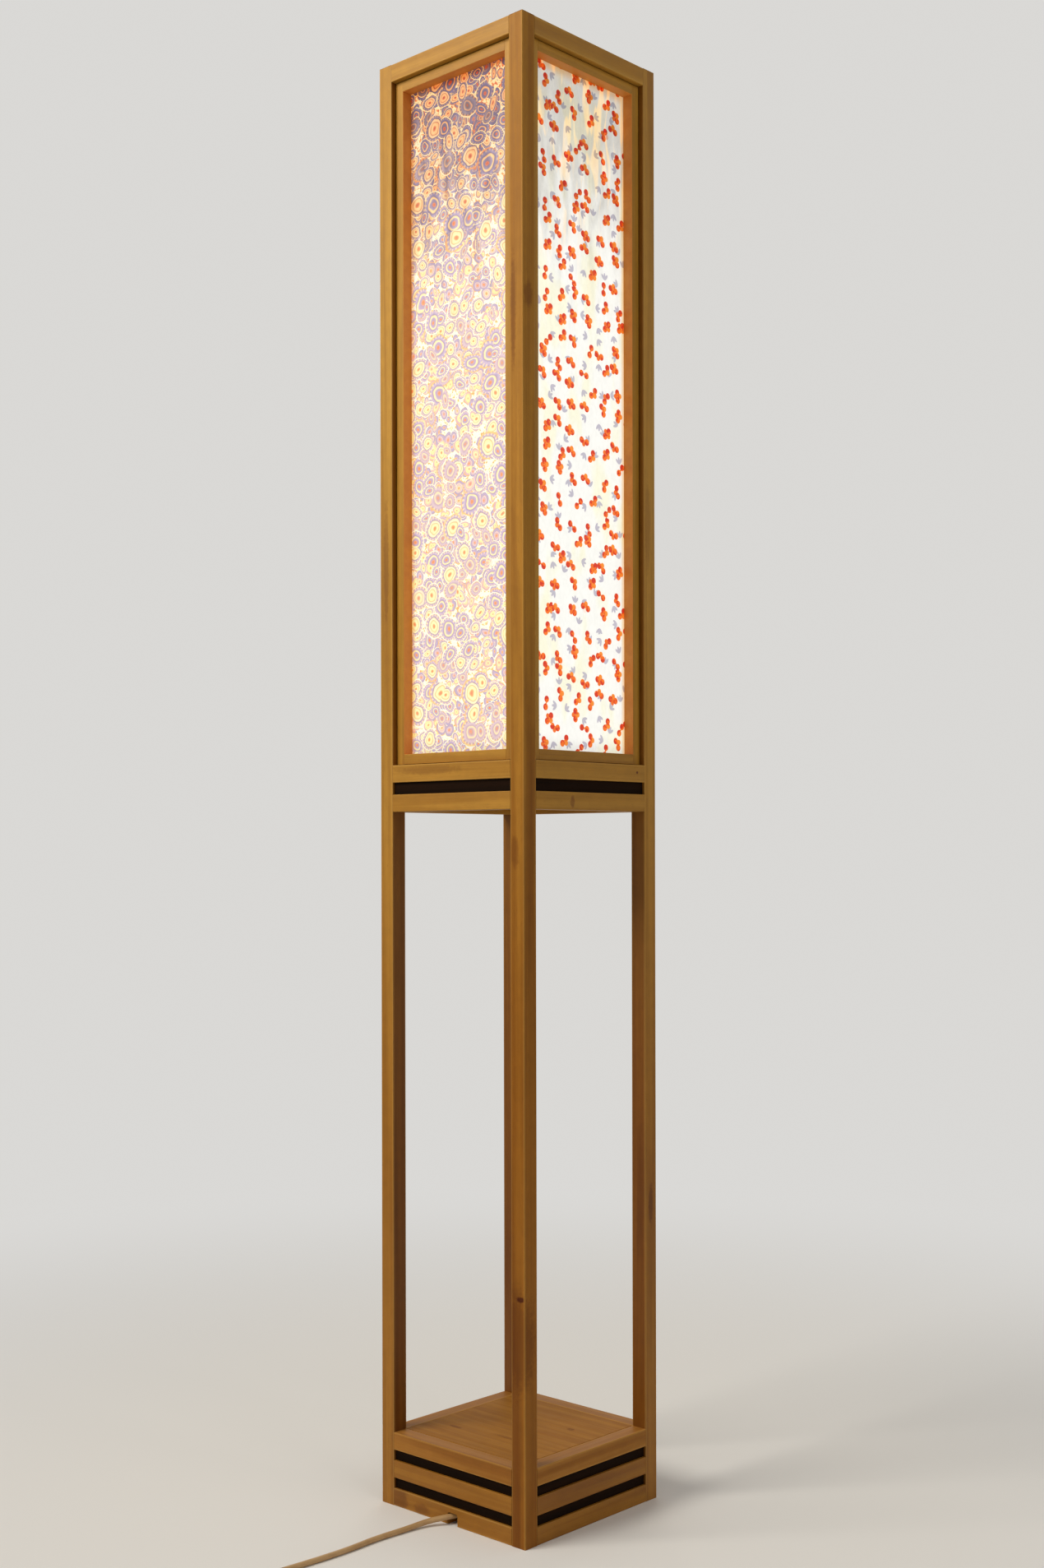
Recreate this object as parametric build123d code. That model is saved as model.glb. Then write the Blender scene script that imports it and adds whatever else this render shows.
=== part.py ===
"""Andon floor lamp: a tall square lantern on four posts, with an open bay and a shelf below.

Units are millimetres, +Z is up, and the origin is on the floor under the middle of the lamp.
The front is -Y, the right side +X, the back +Y and the left side -X. Each STEP file in parts/
is one node: a piece, or a group of like pieces that are separate solids.
"""
import os

from build123d import *

# ---------------------------------------------------------------- driving dimensions
# Outside of the lamp
lamp_width = 204.0
lamp_height = 1500.0

# Square stock of the posts, and the rails between them
post_size = 18.0
rail_height = 18.0
rail_thickness = 18.0
arris = 0.8

# Stub tenons that join the rails to the posts
tenon_length = 5.0
tenon_thickness = 4.0
tenon_height = 12.0
tenon_shoulder = 2.5
tenon_fit = 0.1

# Levels of the base box and of the lantern
base_slot = 11.0
lantern_underside = 722.0
lantern_slot = 12.5

# Dark slips that close the slots between rails
slip_thickness = 8.0
slip_recess = 3.0

# Boards held in grooves
groove_depth = 4.0
board_fit = 0.3
shelf_thickness = 10.0
shelf_tongue = 4.0
floor_thickness = 9.0
floor_above_rail = 5.0

# Screen frames that stand in the four lantern openings
panel_gap = 0.8
panel_recess = 6.0
panel_depth = 12.0
panel_stile = 10.5
panel_tenon_length = 4.0
panel_tenon_thickness = 4.0
panel_tenon_height = 7.0
screen_thickness = 0.6
screen_overlap = 8.5

# Corner beads behind the screens, and the magnets that hold the back one
bead_size = 7.0
bead_clearance = 0.3
bead_end_gap = 1.0
magnet_radius = 2.25
magnet_thickness = 2.0
magnet_inset = 30.0

# Light fitting: a 600 mm tube on an upright spine
tube_radius = 12.7
tube_wall = 0.8
tube_length = 589.8
cap_radius = 13.0
cap_length = 12.0
cap_plate = 1.5
cap_fit = 0.05
pin_radius = 1.18
pin_length = 7.1
pin_spacing = 12.7
holder_thickness = 12.0
holder_gap = 0.3
holder_width = 24.0
holder_reach = 24.0
holder_recess = 8.3
neck_width = 19.6
neck_height = 9.6
neck_length = 6.0
neck_fit = 0.2
rotor_radius = 8.3
rotor_thickness = 7.7
rotor_slot = 3.0
rotor_slot_depth = 6.8
rotor_clearance = 0.3
spine_width = 36.0
spine_depth = 20.0
spine_overrun = 13.6
sheet_metal = 1.0
cover_flange = 5.0
lower_holder_height = 16.0
ballast_size = (28.0, 15.0, 180.0)
ballast_height = 160.0
foot_width = 34.0
foot_length = 22.0
foot_upright = 40.0
foot_metal = 1.5

# Screws
screw_radius = 1.5
screw_hole = 1.55
screw_head_radius = 2.8
screw_head_height = 1.8
floor_screw_length = 8.0
spine_screw_length = 5.5
clamp_screw_length = 20.0

# Lead and free cord
cord_diameter = 5.6
cord_rest = 0.05
cord_exit_height = 8.5
lead_clearance = 0.3
lead_groove_width = 7.0
lead_bore_clearance = 0.4
lead_groove_inset = 8.0
groove_cover_thickness = 3.0
groove_cover_fit = 0.05
groove_overrun = 3.0
lead_slot_level = 53.0
lead_entry_height = 11.0
lead_entry_depth = 12.0

# Notch for the cord in the front bottom rail, and the clamp behind it
notch_centre = 2.0
notch_width = 14.0
notch_height = 12.2
notch_corner = 2.5
clamp_width = 40.0
clamp_depth = 12.0
clamp_height = 11.0
clamp_bottom = 3.0
clamp_bore_fit = 0.05
clamp_screw_spacing = 30.0

# Clips, grommet
clip_length = 5.0
clip_wall = 1.2
clip_pad = 12.0
clip_pad_thickness = 1.0
clip_run = 104.0
grommet_radius = 5.5
grommet_neck_radius = 4.2
grommet_flange = 1.0

# Coil of spare cord: two layers of four turns
coil_centre = (13.5, -478.0)
coil_inner_turn = 23.7
coil_turns_wide = 4
coil_layers = 2
coil_edge = 1.6

# Cord switch
switch_centre = (-27.0, -397.0)
switch_length = 62.0
switch_width = 26.0
switch_end_width = 13.0
switch_shoulder = 13.0
switch_base_height = 8.0
switch_cover_height = 8.0
switch_edge = 2.2
switch_cord_height = 7.0
rocker_length = 15.6
rocker_width = 9.2
rocker_side_gap = 0.4
rocker_pocket_length = 18.4
rocker_pocket_floor = 8.6
rocker_pivot_height = 11.6
rocker_end_rise = 5.4
rocker_dip = 1.3
rocker_foot = 2.1
rocker_foot_length = 9.0
rocker_tilt = 8.0
trunnion_radius = 1.2
trunnion_length = 1.6
trunnion_fit = 0.08

# Two-pin plug
plug_rear = (54.0, -440.0)
plug_width = 35.0
plug_thickness = 13.6
plug_length = 36.0
plug_rear_radius = 4.4
plug_neck_length = 12.0
plug_neck_radius = 6.4
plug_waist_width = 16.0
plug_shoulder = 14.0
plug_corner = 5.0
plug_edge = 1.8
plug_pin_radius = 2.0
plug_pin_spacing = 18.6
plug_sleeve_length = 9.0
plug_sleeve_radius = 1.85
plug_pin_length = 10.0
plug_lift = 0.2

# ---------------------------------------------------------------- worked-out places
half_width = lamp_width / 2
clear_half = half_width - post_size
cord_radius = cord_diameter / 2
cord_floor = cord_radius + cord_rest

base_middle_bottom = rail_height + base_slot
shelf_rail_bottom = base_middle_bottom + rail_height + base_slot
shelf_top = shelf_rail_bottom + rail_height
lantern_upper_bottom = lantern_underside + rail_height + lantern_slot
opening_bottom = lantern_upper_bottom + rail_height
opening_top = lamp_height - rail_height
rail_levels = {
    "base_bottom": 0.0,
    "base_middle": base_middle_bottom,
    "shelf": shelf_rail_bottom,
    "lantern_lower": lantern_underside,
    "lantern_upper": lantern_upper_bottom,
    "top": opening_top,
}
floor_bottom = lantern_underside + floor_above_rail
floor_top = floor_bottom + floor_thickness

screen_plane = half_width - panel_recess - panel_depth
bead_face = screen_plane - screen_thickness
bead_centre = bead_face - bead_size / 2

sides = {"front": 0, "right": 90, "back": 180, "left": 270}
corners = {"front_right": 0, "back_right": 90, "back_left": 180, "front_left": 270}

holder_low = floor_top + lower_holder_height
tube_low = holder_low + holder_thickness + holder_gap
tube_high = tube_low + tube_length
spine_top = tube_high + holder_gap + holder_thickness + spine_overrun
spine_front = holder_reach
spine_back = spine_front + spine_depth
recess_radius = rotor_radius + rotor_clearance

# The lead goes up a groove in the back of the back right post, and leaves it at both
# ends through a sloping bore that comes out on the inner corner of the post.
lead_axis_x = half_width - lead_groove_inset
lead_axis_y = half_width - groove_cover_thickness - lead_clearance - cord_radius
bore_run = ((lead_axis_x - clear_half) ** 2 + (lead_axis_y - clear_half) ** 2) ** 0.5
bore_way = Vector(lead_axis_x - clear_half, lead_axis_y - clear_half, bore_run).normalized()
lead_low = lead_slot_level + bore_run
lead_exit_level = lantern_upper_bottom - lantern_slot / 2
lead_high = lead_exit_level - bore_run
base_approach = Vector(clear_half, clear_half, lead_slot_level) - bore_way * 16.0
lantern_way = Vector(-bore_way.X, -bore_way.Y, bore_way.Z)
lantern_hump = Vector(clear_half, clear_half, lead_exit_level) + lantern_way * 14.0
lead_wall_x = clear_half - clip_pad_thickness - lead_clearance - cord_radius
lead_on_floor = floor_top + cord_radius + lead_clearance
lead_entry = floor_top + lead_entry_height
lead_entry_y = spine_front + lead_entry_depth

plug_axis_height = plug_thickness / 2 + plug_lift

clamp_face = -clear_half
cord_start = (5.0, clamp_face, cord_exit_height)

# Centre line of the lead inside the lamp, from the clamp to the spine
lead_route = [
    cord_start,
    (13.7, clamp_face + 24.0, cord_exit_height),
    (34.0, clamp_face + 44.0, cord_exit_height),
    (lead_wall_x - 18.9, clamp_face + 59.0, cord_exit_height),
    (lead_wall_x, clamp_face + 86.0, cord_exit_height),
    (lead_wall_x, 40.0, cord_exit_height),
    tuple(base_approach),
    (lead_axis_x, lead_axis_y, lead_low),
    (lead_axis_x, lead_axis_y, lead_high),
    tuple(lantern_hump),
    (60.0, 58.0, floor_top + 6.0),
    (44.0, 42.0, lead_on_floor),
    (28.0, lead_entry_y, lead_entry),
    (8.0, lead_entry_y, lead_entry),
]

# Centre line of the free cord: from the clamp to the switch
switch_y_near = switch_centre[1] + switch_length / 2
switch_y_far = switch_centre[1] - switch_length / 2
near_route = [
    cord_start,
    (-2.25, -104.0, cord_exit_height),
    (-16.0, -121.0, 4.8),
    (-19.5, -147.0, cord_floor),
    (-23.0, -184.0, cord_floor),
    (-21.3, -222.0, cord_floor),
    (-23.2, -258.0, cord_floor),
    (-27.5, -298.0, cord_floor),
    (-29.0, -328.0, 3.4),
    (switch_centre[0], -350.0, switch_cord_height),
    (switch_centre[0], switch_y_near, switch_cord_height),
]

# From the switch into the coil, and from the coil to the plug
mid_route = [
    (switch_centre[0], switch_y_far, switch_cord_height),
    (switch_centre[0], -441.0, switch_cord_height),
    (-27.6, -457.0, 3.6),
    (-26.6, -473.0, cord_floor),
]
coil_top_turn = cord_floor + cord_diameter * (coil_layers - 1)
end_route = [
    (plug_rear[0], -471.0, coil_top_turn),
    (plug_rear[0], -455.0, plug_axis_height),
    (plug_rear[0], plug_rear[1], plug_axis_height),
]


# ---------------------------------------------------------------- helpers
def block(x_range, y_range, z_range):
    """A box between two corners."""
    size = [high - low for low, high in (x_range, y_range, z_range)]
    middle = [(high + low) / 2 for low, high in (x_range, y_range, z_range)]
    return Pos(*middle) * Box(*size)


def turned(shape, side):
    """The front or front right shape, turned about the lamp's axis to another side."""
    return Rot(0, 0, side) * shape


def route_radii(route):
    """The radius of the arc at each inner point: 0.45 of the shorter run over tan(half turn)."""
    points = [Vector(*p) for p in route]
    radii = []
    for before, here, after in zip(points, points[1:], points[2:]):
        turn = (here - before).get_angle(after - here)
        shorter = min((here - before).length, (after - here).length)
        radii.append(0.45 * shorter / tangent_of_half(turn))
    return radii


def tangent_of_half(degrees):
    """The tangent of half an angle, from the half-angle formula on unit vectors."""
    arm = Vector(1, 0, 0)
    other = arm.rotate(Axis.Z, degrees)
    return (other - arm).length / (other + arm).length


def round_tube(route, radius):
    """A round tube along straight runs joined by tangent arcs."""
    path = FilletPolyline(*route, radius=route_radii(route))
    section = Plane(origin=path @ 0, z_dir=path % 0) * Circle(radius)
    return sweep(section, path=path)


def pan_screw(length):
    """A screw along +Z with its head's underside at the origin and its shank below."""
    head = Pos(0, 0, screw_head_height / 2) * Cylinder(screw_head_radius, screw_head_height)
    head = chamfer(head.edges().group_by(Axis.Z)[-1], screw_head_height * 0.4)
    shank = Pos(0, 0, -length / 2) * Cylinder(screw_radius, length)
    return head + shank


def screw_hole_at(length, spare=1.0):
    """The hole that a pan screw of that length needs, from just above the surface down."""
    return Pos(0, 0, (spare - length) / 2) * Cylinder(screw_hole, length + spare)


def save(name, *solids):
    """Writes one node, with its separate solids."""
    shape = solids[0] if len(solids) == 1 else Compound(children=list(solids))
    shape.label = name
    export_step(shape, f"parts/{name}.step")


# ---------------------------------------------------------------- posts and rails
def tenon(end, bottom):
    """A tenon on the end of a front rail: end is -1 on the left and +1 on the right."""
    tip = clear_half + tenon_length
    middle = bottom + rail_height / 2
    outer = -half_width + tenon_shoulder
    x_range = sorted((end * (clear_half - 1.0), end * tip))
    return block(
        x_range,
        (outer, outer + tenon_thickness),
        (middle - tenon_height / 2, middle + tenon_height / 2),
    )


def mortise(bottom):
    """The mortise in the left side of the front right post for a front rail."""
    tip = clear_half + tenon_length + tenon_fit
    middle = bottom + rail_height / 2
    outer = -half_width + tenon_shoulder
    reach = tenon_height / 2 + tenon_fit
    return block(
        (clear_half - 1.0, tip),
        (outer - tenon_fit, outer + tenon_thickness + tenon_fit),
        (middle - reach, middle + reach),
    )


def plain_rail(bottom):
    """A front rail with rounded arrises, flush with the posts outside and inside."""
    body = block(
        (-clear_half, clear_half),
        (-half_width, -half_width + rail_thickness),
        (bottom, bottom + rail_height),
    )
    body = fillet(body.edges().filter_by(Axis.X), arris)
    return body + tenon(-1, bottom) + tenon(1, bottom)


def grooved_rail(bottom, groove_bottom, groove_height):
    """A front rail with a groove for a board in its inner face."""
    inner = -half_width + rail_thickness
    groove = block(
        (-clear_half, clear_half),
        (inner - groove_depth, inner + 1.0),
        (groove_bottom, groove_bottom + groove_height),
    )
    return plain_rail(bottom) - groove


def notched_rail():
    """The front bottom rail, with the notch for the cord and the clamp's pilot holes."""
    opening = Pos(notch_centre, 0) * RectangleRounded(notch_width, 2 * notch_height, notch_corner)
    notch = extrude(Plane.XZ * opening, half_width + 1.0)
    return plain_rail(rail_levels["base_bottom"]) - notch - clamp_holes()


def post():
    """The front right post, with mortises for the rails of both faces."""
    low, high = clear_half, half_width
    body = block((low, high), (-high, -low), (0, lamp_height))
    body = fillet(body.edges().filter_by(Axis.Z), arris)
    for bottom in rail_levels.values():
        front = mortise(bottom)
        right = turned(mirror(front, Plane.YZ), 90)
        body = body - front - right
    return body


def lead_groove():
    """What the back right post loses for the lead: a groove up its back, and two bores."""
    x_low = lead_axis_x - lead_groove_width / 2
    y_low = lead_axis_y - cord_radius - lead_bore_clearance - 0.1
    groove = block(
        (x_low, x_low + lead_groove_width),
        (y_low, half_width + 1.0),
        (lead_low - groove_overrun, lead_high + groove_overrun),
    )
    bore_route = [
        tuple(base_approach),
        (lead_axis_x, lead_axis_y, lead_low),
        (lead_axis_x, lead_axis_y, lead_high),
        tuple(lantern_hump),
    ]
    return groove, round_tube(bore_route, cord_radius + lead_bore_clearance)


def groove_cover():
    """The strip let in flush over the lead's groove."""
    width = lead_groove_width - 2 * groove_cover_fit
    low = lead_low - groove_overrun + groove_cover_fit
    high = lead_high + groove_overrun - groove_cover_fit
    return block(
        (lead_axis_x - width / 2, lead_axis_x + width / 2),
        (half_width - groove_cover_thickness, half_width),
        (low, high),
    )


def slip(bottom, height):
    """A dark front slip between two rails, set back from their faces."""
    outer = -half_width + slip_recess
    return block(
        (-clear_half, clear_half),
        (outer, outer + slip_thickness),
        (bottom, bottom + height),
    )


# ---------------------------------------------------------------- boards
def notched_board(reach, bottom, thickness):
    """A board that reaches into the rails' grooves, with its corners cut clear of the posts."""
    inner = clear_half - board_fit
    board = block((-reach, reach), (-inner, inner), (bottom, bottom + thickness))
    return board + block((-inner, inner), (-reach, reach), (bottom, bottom + thickness))


def shelf_board():
    """The shelf: flush on top with its rails, with a tongue all round in their grooves."""
    inner = clear_half - board_fit
    bottom = shelf_top - shelf_thickness
    top = block((-inner, inner), (-inner, inner), (bottom, shelf_top))
    top = fillet(top.edges().group_by(Axis.Z)[-1], arris / 2)
    return top + notched_board(clear_half + groove_depth - board_fit, bottom, shelf_tongue)


def lantern_floor():
    """The board that closes the lantern below and carries the light fitting."""
    board = notched_board(clear_half + groove_depth - board_fit, floor_bottom, floor_thickness)
    return board - [place * screw_hole_at(floor_screw_length) for place in floor_screw_places()]


# ---------------------------------------------------------------- screens
def panel_pieces():
    """The front screen frame: two stiles, and two rails tenoned between them."""
    outer = clear_half - panel_gap
    inner = outer - panel_stile
    low, high = opening_bottom + panel_gap, opening_top - panel_gap
    y_range = (-screen_plane - panel_depth, -screen_plane)
    y_middle = sum(y_range) / 2
    pieces = []
    for end in (-1, 1):
        stile = block(sorted((end * inner, end * outer)), y_range, (low, high))
        stile = fillet(stile.edges().filter_by(Axis.Z), arris / 2)
        for rail_bottom in (low, high - panel_stile):
            stile -= panel_tenon(end, inner, y_middle, rail_bottom, tenon_fit)
        pieces.append(stile)
    for rail_bottom in (low, high - panel_stile):
        rail = block((-inner, inner), y_range, (rail_bottom, rail_bottom + panel_stile))
        rail = fillet(rail.edges().filter_by(Axis.X), arris / 2)
        rail += panel_tenon(-1, inner, y_middle, rail_bottom, 0.0)
        rail += panel_tenon(1, inner, y_middle, rail_bottom, 0.0)
        pieces.append(rail)
    return pieces


def panel_tenon(end, inner, y_middle, rail_bottom, fit):
    """A stub tenon between a screen frame's rail and stile, or its mortise with a fit."""
    middle = rail_bottom + panel_stile / 2
    return block(
        sorted((end * (inner - 1.0), end * (inner + panel_tenon_length + fit))),
        (y_middle - panel_tenon_thickness / 2 - fit, y_middle + panel_tenon_thickness / 2 + fit),
        (middle - panel_tenon_height / 2 - fit, middle + panel_tenon_height / 2 + fit),
    )


def screen():
    """The front screen: a sheet glued to the back of its frame."""
    side = clear_half - panel_gap - panel_stile + screen_overlap
    low = opening_bottom + panel_gap + panel_stile - screen_overlap
    high = opening_top - panel_gap - panel_stile + screen_overlap
    return block((-side, side), (-screen_plane, -screen_plane + screen_thickness), (low, high))


def bead(x_sign, y_sign):
    """A square bead up an inner corner; the back ones stop short of the screen that comes out."""
    y_face = bead_face - bead_clearance if y_sign > 0 else bead_face
    x_range = sorted((x_sign * bead_face, x_sign * (bead_face - bead_size)))
    y_range = sorted((y_sign * y_face, y_sign * (y_face - bead_size)))
    z_range = (opening_bottom + bead_end_gap, opening_top - bead_end_gap)
    return block(x_range, y_range, z_range)


def magnet_spots():
    """Places of the magnets' axes, in pairs at the top and bottom of both back beads."""
    levels = (opening_bottom + magnet_inset, opening_top - magnet_inset)
    return [(sign * bead_centre, level) for sign in (-1, 1) for level in levels]


def magnets(y_face, way, fit=0.0):
    """Disc magnets along Y, from a face inwards, or their holes with a fit."""
    discs = []
    for x, z in magnet_spots():
        disc = Cylinder(magnet_radius + fit, magnet_thickness + fit)
        y = y_face + way * (magnet_thickness + fit) / 2
        discs.append(Pos(x, y, z) * Rot(90, 0, 0) * disc)
    return discs


# ---------------------------------------------------------------- light fitting
def holder(low, faces_up):
    """A rotary lampholder around the tube's axis, with its recess towards the tube."""
    middle = holder_thickness / 2
    outline = Circle(holder_width / 2) + Pos(0, holder_reach / 2) * Rectangle(
        holder_width, holder_reach
    )
    body = extrude(outline, holder_thickness)
    body = fillet(body.edges().group_by(Axis.Z)[-1], arris)
    neck = block(
        (-neck_width / 2, neck_width / 2),
        (holder_reach - 1.0, holder_reach + neck_length),
        (middle - neck_height / 2, middle + neck_height / 2),
    )
    recess = Pos(0, 0, holder_thickness - holder_recess / 2) * Cylinder(recess_radius, holder_recess)
    way_in = block(
        (-rotor_slot / 2 - rotor_clearance, rotor_slot / 2 + rotor_clearance),
        (-holder_width, 0),
        (holder_thickness - holder_recess, holder_thickness + 1.0),
    )
    body = body + neck - recess - way_in
    if not faces_up:
        body = mirror(body, Plane.XY.offset(middle))
    return Pos(0, 0, low) * body


def rotor(face, way):
    """The slotted rotor that grips the pins, a little inside the holder's face."""
    disc = Cylinder(rotor_radius, rotor_thickness)
    top = rotor_thickness / 2
    slot = block(
        (-rotor_radius - 1.0, rotor_radius + 1.0),
        (-rotor_slot / 2, rotor_slot / 2),
        (top - rotor_slot_depth, top + 1.0),
    )
    body = disc - slot
    if way < 0:
        body = mirror(body, Plane.XY)
    depth = holder_recess - rotor_clearance - rotor_thickness / 2
    return Pos(0, 0, face - way * depth) * body


def tube_cap(face, way):
    """A metal cap on one end of the tube, with its two pins."""
    shell = Cylinder(cap_radius, cap_length)
    inside = Pos(0, 0, cap_plate) * Cylinder(tube_radius + cap_fit, cap_length)
    cap = shell - inside
    for sign in (-1, 1):
        pin = Cylinder(pin_radius, pin_length)
        pin = chamfer(pin.edges().group_by(Axis.Z)[0], pin_radius * 0.5)
        cap += Pos(sign * pin_spacing / 2, 0, -(cap_length + pin_length) / 2) * pin
    if way < 0:
        cap = mirror(cap, Plane.XY)
    return Pos(0, 0, face + way * cap_length / 2) * cap


def glass():
    """The tube itself, open inside."""
    length = tube_length - 2 * cap_plate
    wall = Cylinder(tube_radius, length) - Cylinder(tube_radius - tube_wall, length)
    return Pos(0, 0, (tube_low + tube_high) / 2) * wall


def spine_channel():
    """A folded channel, closed at both ends and open at the front."""
    low, high = floor_top, spine_top
    front = spine_front + sheet_metal
    half = spine_width / 2
    body = block((-half, half), (front, spine_back), (low, high))
    body -= block(
        (-half + sheet_metal, half - sheet_metal),
        (front - 1.0, spine_back - sheet_metal),
        (low + sheet_metal, high - sheet_metal),
    )
    body -= [place * screw_hole_at(spine_screw_length) for place in spine_screw_places()]
    entry = Rot(0, 90, 0) * Cylinder(grommet_neck_radius, 4.0)
    return body - Pos(half, lead_entry_y, lead_entry) * entry


def holder_lows():
    """The lower face of each lampholder."""
    return (holder_low, tube_high + holder_gap)


def spine_cover():
    """The front cover, with flanges inside the channel and openings for the holders' necks."""
    low, high = floor_top, spine_top
    half = spine_width / 2
    plate = block((-half, half), (spine_front, spine_front + sheet_metal), (low, high))
    for sign in (-1, 1):
        outer = half - sheet_metal - rotor_clearance
        plate += block(
            sorted((sign * outer, sign * (outer - sheet_metal))),
            (spine_front, spine_front + sheet_metal + cover_flange),
            (low + 2 * sheet_metal, high - 2 * sheet_metal),
        )
    for holder_bottom in holder_lows():
        middle = holder_bottom + holder_thickness / 2
        plate -= block(
            (-neck_width / 2 - neck_fit, neck_width / 2 + neck_fit),
            (spine_front - 1.0, spine_front + sheet_metal + 1.0),
            (middle - neck_height / 2 - neck_fit, middle + neck_height / 2 + neck_fit),
        )
    return plate


def ballast():
    """The control gear, on the channel's back wall."""
    width, depth, height = ballast_size
    back = spine_back - sheet_metal
    low = floor_top + ballast_height
    body = block((-width / 2, width / 2), (back - depth, back), (low, low + height))
    return chamfer(body.edges().group_by(Axis.Y)[0], arris)


def spine_foot():
    """An angle bracket behind the spine."""
    half = foot_width / 2
    upright = block(
        (-half, half), (spine_back, spine_back + foot_metal), (floor_top, floor_top + foot_upright)
    )
    base = block(
        (-half, half), (spine_back, spine_back + foot_length), (floor_top, floor_top + foot_metal)
    )
    holes = [place * screw_hole_at(floor_screw_length) for place in floor_screw_places()]
    holes += [place * screw_hole_at(spine_screw_length) for place in spine_screw_places()]
    return upright + base - holes


def floor_screw_places():
    """Places on top of the foot's base for the screws into the lantern floor."""
    y = spine_back + foot_length * 0.6
    return [Pos(sign * foot_width * 0.3, y, floor_top + foot_metal) for sign in (-1, 1)]


def spine_screw_places():
    """Places on the back of the foot's upright for the screws into the channel."""
    y = spine_back + foot_metal
    levels = (floor_top + foot_upright * 0.4, floor_top + foot_upright * 0.8)
    return [Pos(0, y, level) * Rot(-90, 0, 0) for level in levels]


# ---------------------------------------------------------------- lead, clips and clamp
def clamp_places():
    """Places on the back of the clamp for its two screws."""
    y = clamp_face + clamp_depth
    z = clamp_bottom + clamp_height / 2
    middle = notch_centre
    return [
        Pos(middle + sign * clamp_screw_spacing / 2, y, z) * Rot(-90, 0, 0) for sign in (-1, 1)
    ]


def clamp_holes():
    """The holes for the clamp's screws, through the clamp and into the rail."""
    return [place * screw_hole_at(clamp_screw_length) for place in clamp_places()]


def cord_clamp():
    """The bar that grips the cord against the inside of the front rail."""
    body = block(
        (notch_centre - clamp_width / 2, notch_centre + clamp_width / 2),
        (clamp_face, clamp_face + clamp_depth),
        (clamp_bottom, clamp_bottom + clamp_height),
    )
    body = fillet(body.edges().filter_by(Axis.Y), 2 * arris)
    start, onward = Vector(*lead_route[0]), Vector(*lead_route[1])
    middle = start + (onward - start).normalized() * clamp_depth / 2
    axis = Plane(origin=middle, z_dir=onward - start)
    bore = axis * Cylinder(cord_radius + clamp_bore_fit, 3 * clamp_depth)
    return body - bore - clamp_holes()


def lead_clip(y):
    """An adhesive clip on the inner face of the right bottom rail, hooked round the lead."""
    centre_x = lead_wall_x
    outer = cord_radius + lead_clearance / 2 + clip_wall
    bar = block(
        (centre_x, clear_half - clip_pad_thickness),
        (y - clip_length / 2, y + clip_length / 2),
        (cord_exit_height - outer, cord_exit_height + outer),
    )
    ring = Rot(90, 0, 0) * Cylinder(outer, clip_length)
    hole = Rot(90, 0, 0) * Cylinder(outer - clip_wall, clip_length + 1.0)
    hook = bar + Pos(centre_x, y, cord_exit_height) * ring
    hook -= Pos(centre_x, y, cord_exit_height) * hole
    hook -= block(
        (centre_x - outer, centre_x),
        (y - clip_length, y + clip_length),
        (cord_exit_height, cord_exit_height + clip_wall),
    )
    hook &= block((0, clear_half), (y - clip_pad, y + clip_pad), (0, rail_height + base_slot))
    pad = block(
        (clear_half - clip_pad_thickness, clear_half),
        (y - clip_pad / 2, y + clip_pad / 2),
        (cord_exit_height - clip_pad / 2, cord_exit_height + clip_pad / 2),
    )
    return pad + hook - Pos(centre_x, y, cord_exit_height) * hole


def grommet():
    """A grommet in the spine's side wall, round the lead."""
    neck = Cylinder(grommet_neck_radius - groove_cover_fit, sheet_metal)
    flange = Cylinder(grommet_radius, grommet_flange)
    offset = (sheet_metal + grommet_flange) / 2
    body = neck + Pos(0, 0, offset) * flange + Pos(0, 0, -offset) * flange
    body -= Cylinder(cord_radius + lead_clearance / 2, 4 * sheet_metal)
    wall_middle = spine_width / 2 - sheet_metal / 2
    return Pos(wall_middle, lead_entry_y, lead_entry) * Rot(0, 90, 0) * body


# ---------------------------------------------------------------- coil, switch and plug
def coil():
    """The outer shape of the neatly wound spare cord."""
    inner = coil_inner_turn - cord_radius
    width = coil_turns_wide * cord_diameter
    height = cord_rest + coil_layers * cord_diameter
    section = Pos(inner + width / 2, height / 2) * Rectangle(width, height)
    section = chamfer(section.vertices(), coil_edge)
    ring = revolve(Plane.XZ * section, Axis.Z)
    return Pos(*coil_centre) * ring


def switch_outline():
    """The plan of the cord switch: a straight middle that narrows to both ends."""
    half_l, half_w = switch_length / 2, switch_width / 2
    end = switch_end_width / 2
    points = [
        (end, half_l),
        (half_w, half_l - switch_shoulder),
        (half_w, -half_l + switch_shoulder),
        (end, -half_l),
        (-end, -half_l),
        (-half_w, -half_l + switch_shoulder),
        (-half_w, half_l - switch_shoulder),
        (-end, half_l),
    ]
    outline = make_face(Polyline(*points, close=True))
    shoulders = [v for v in outline.vertices() if abs(abs(v.X) - half_w) < 0.01]
    return fillet(shoulders, switch_shoulder * 0.7)


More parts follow.
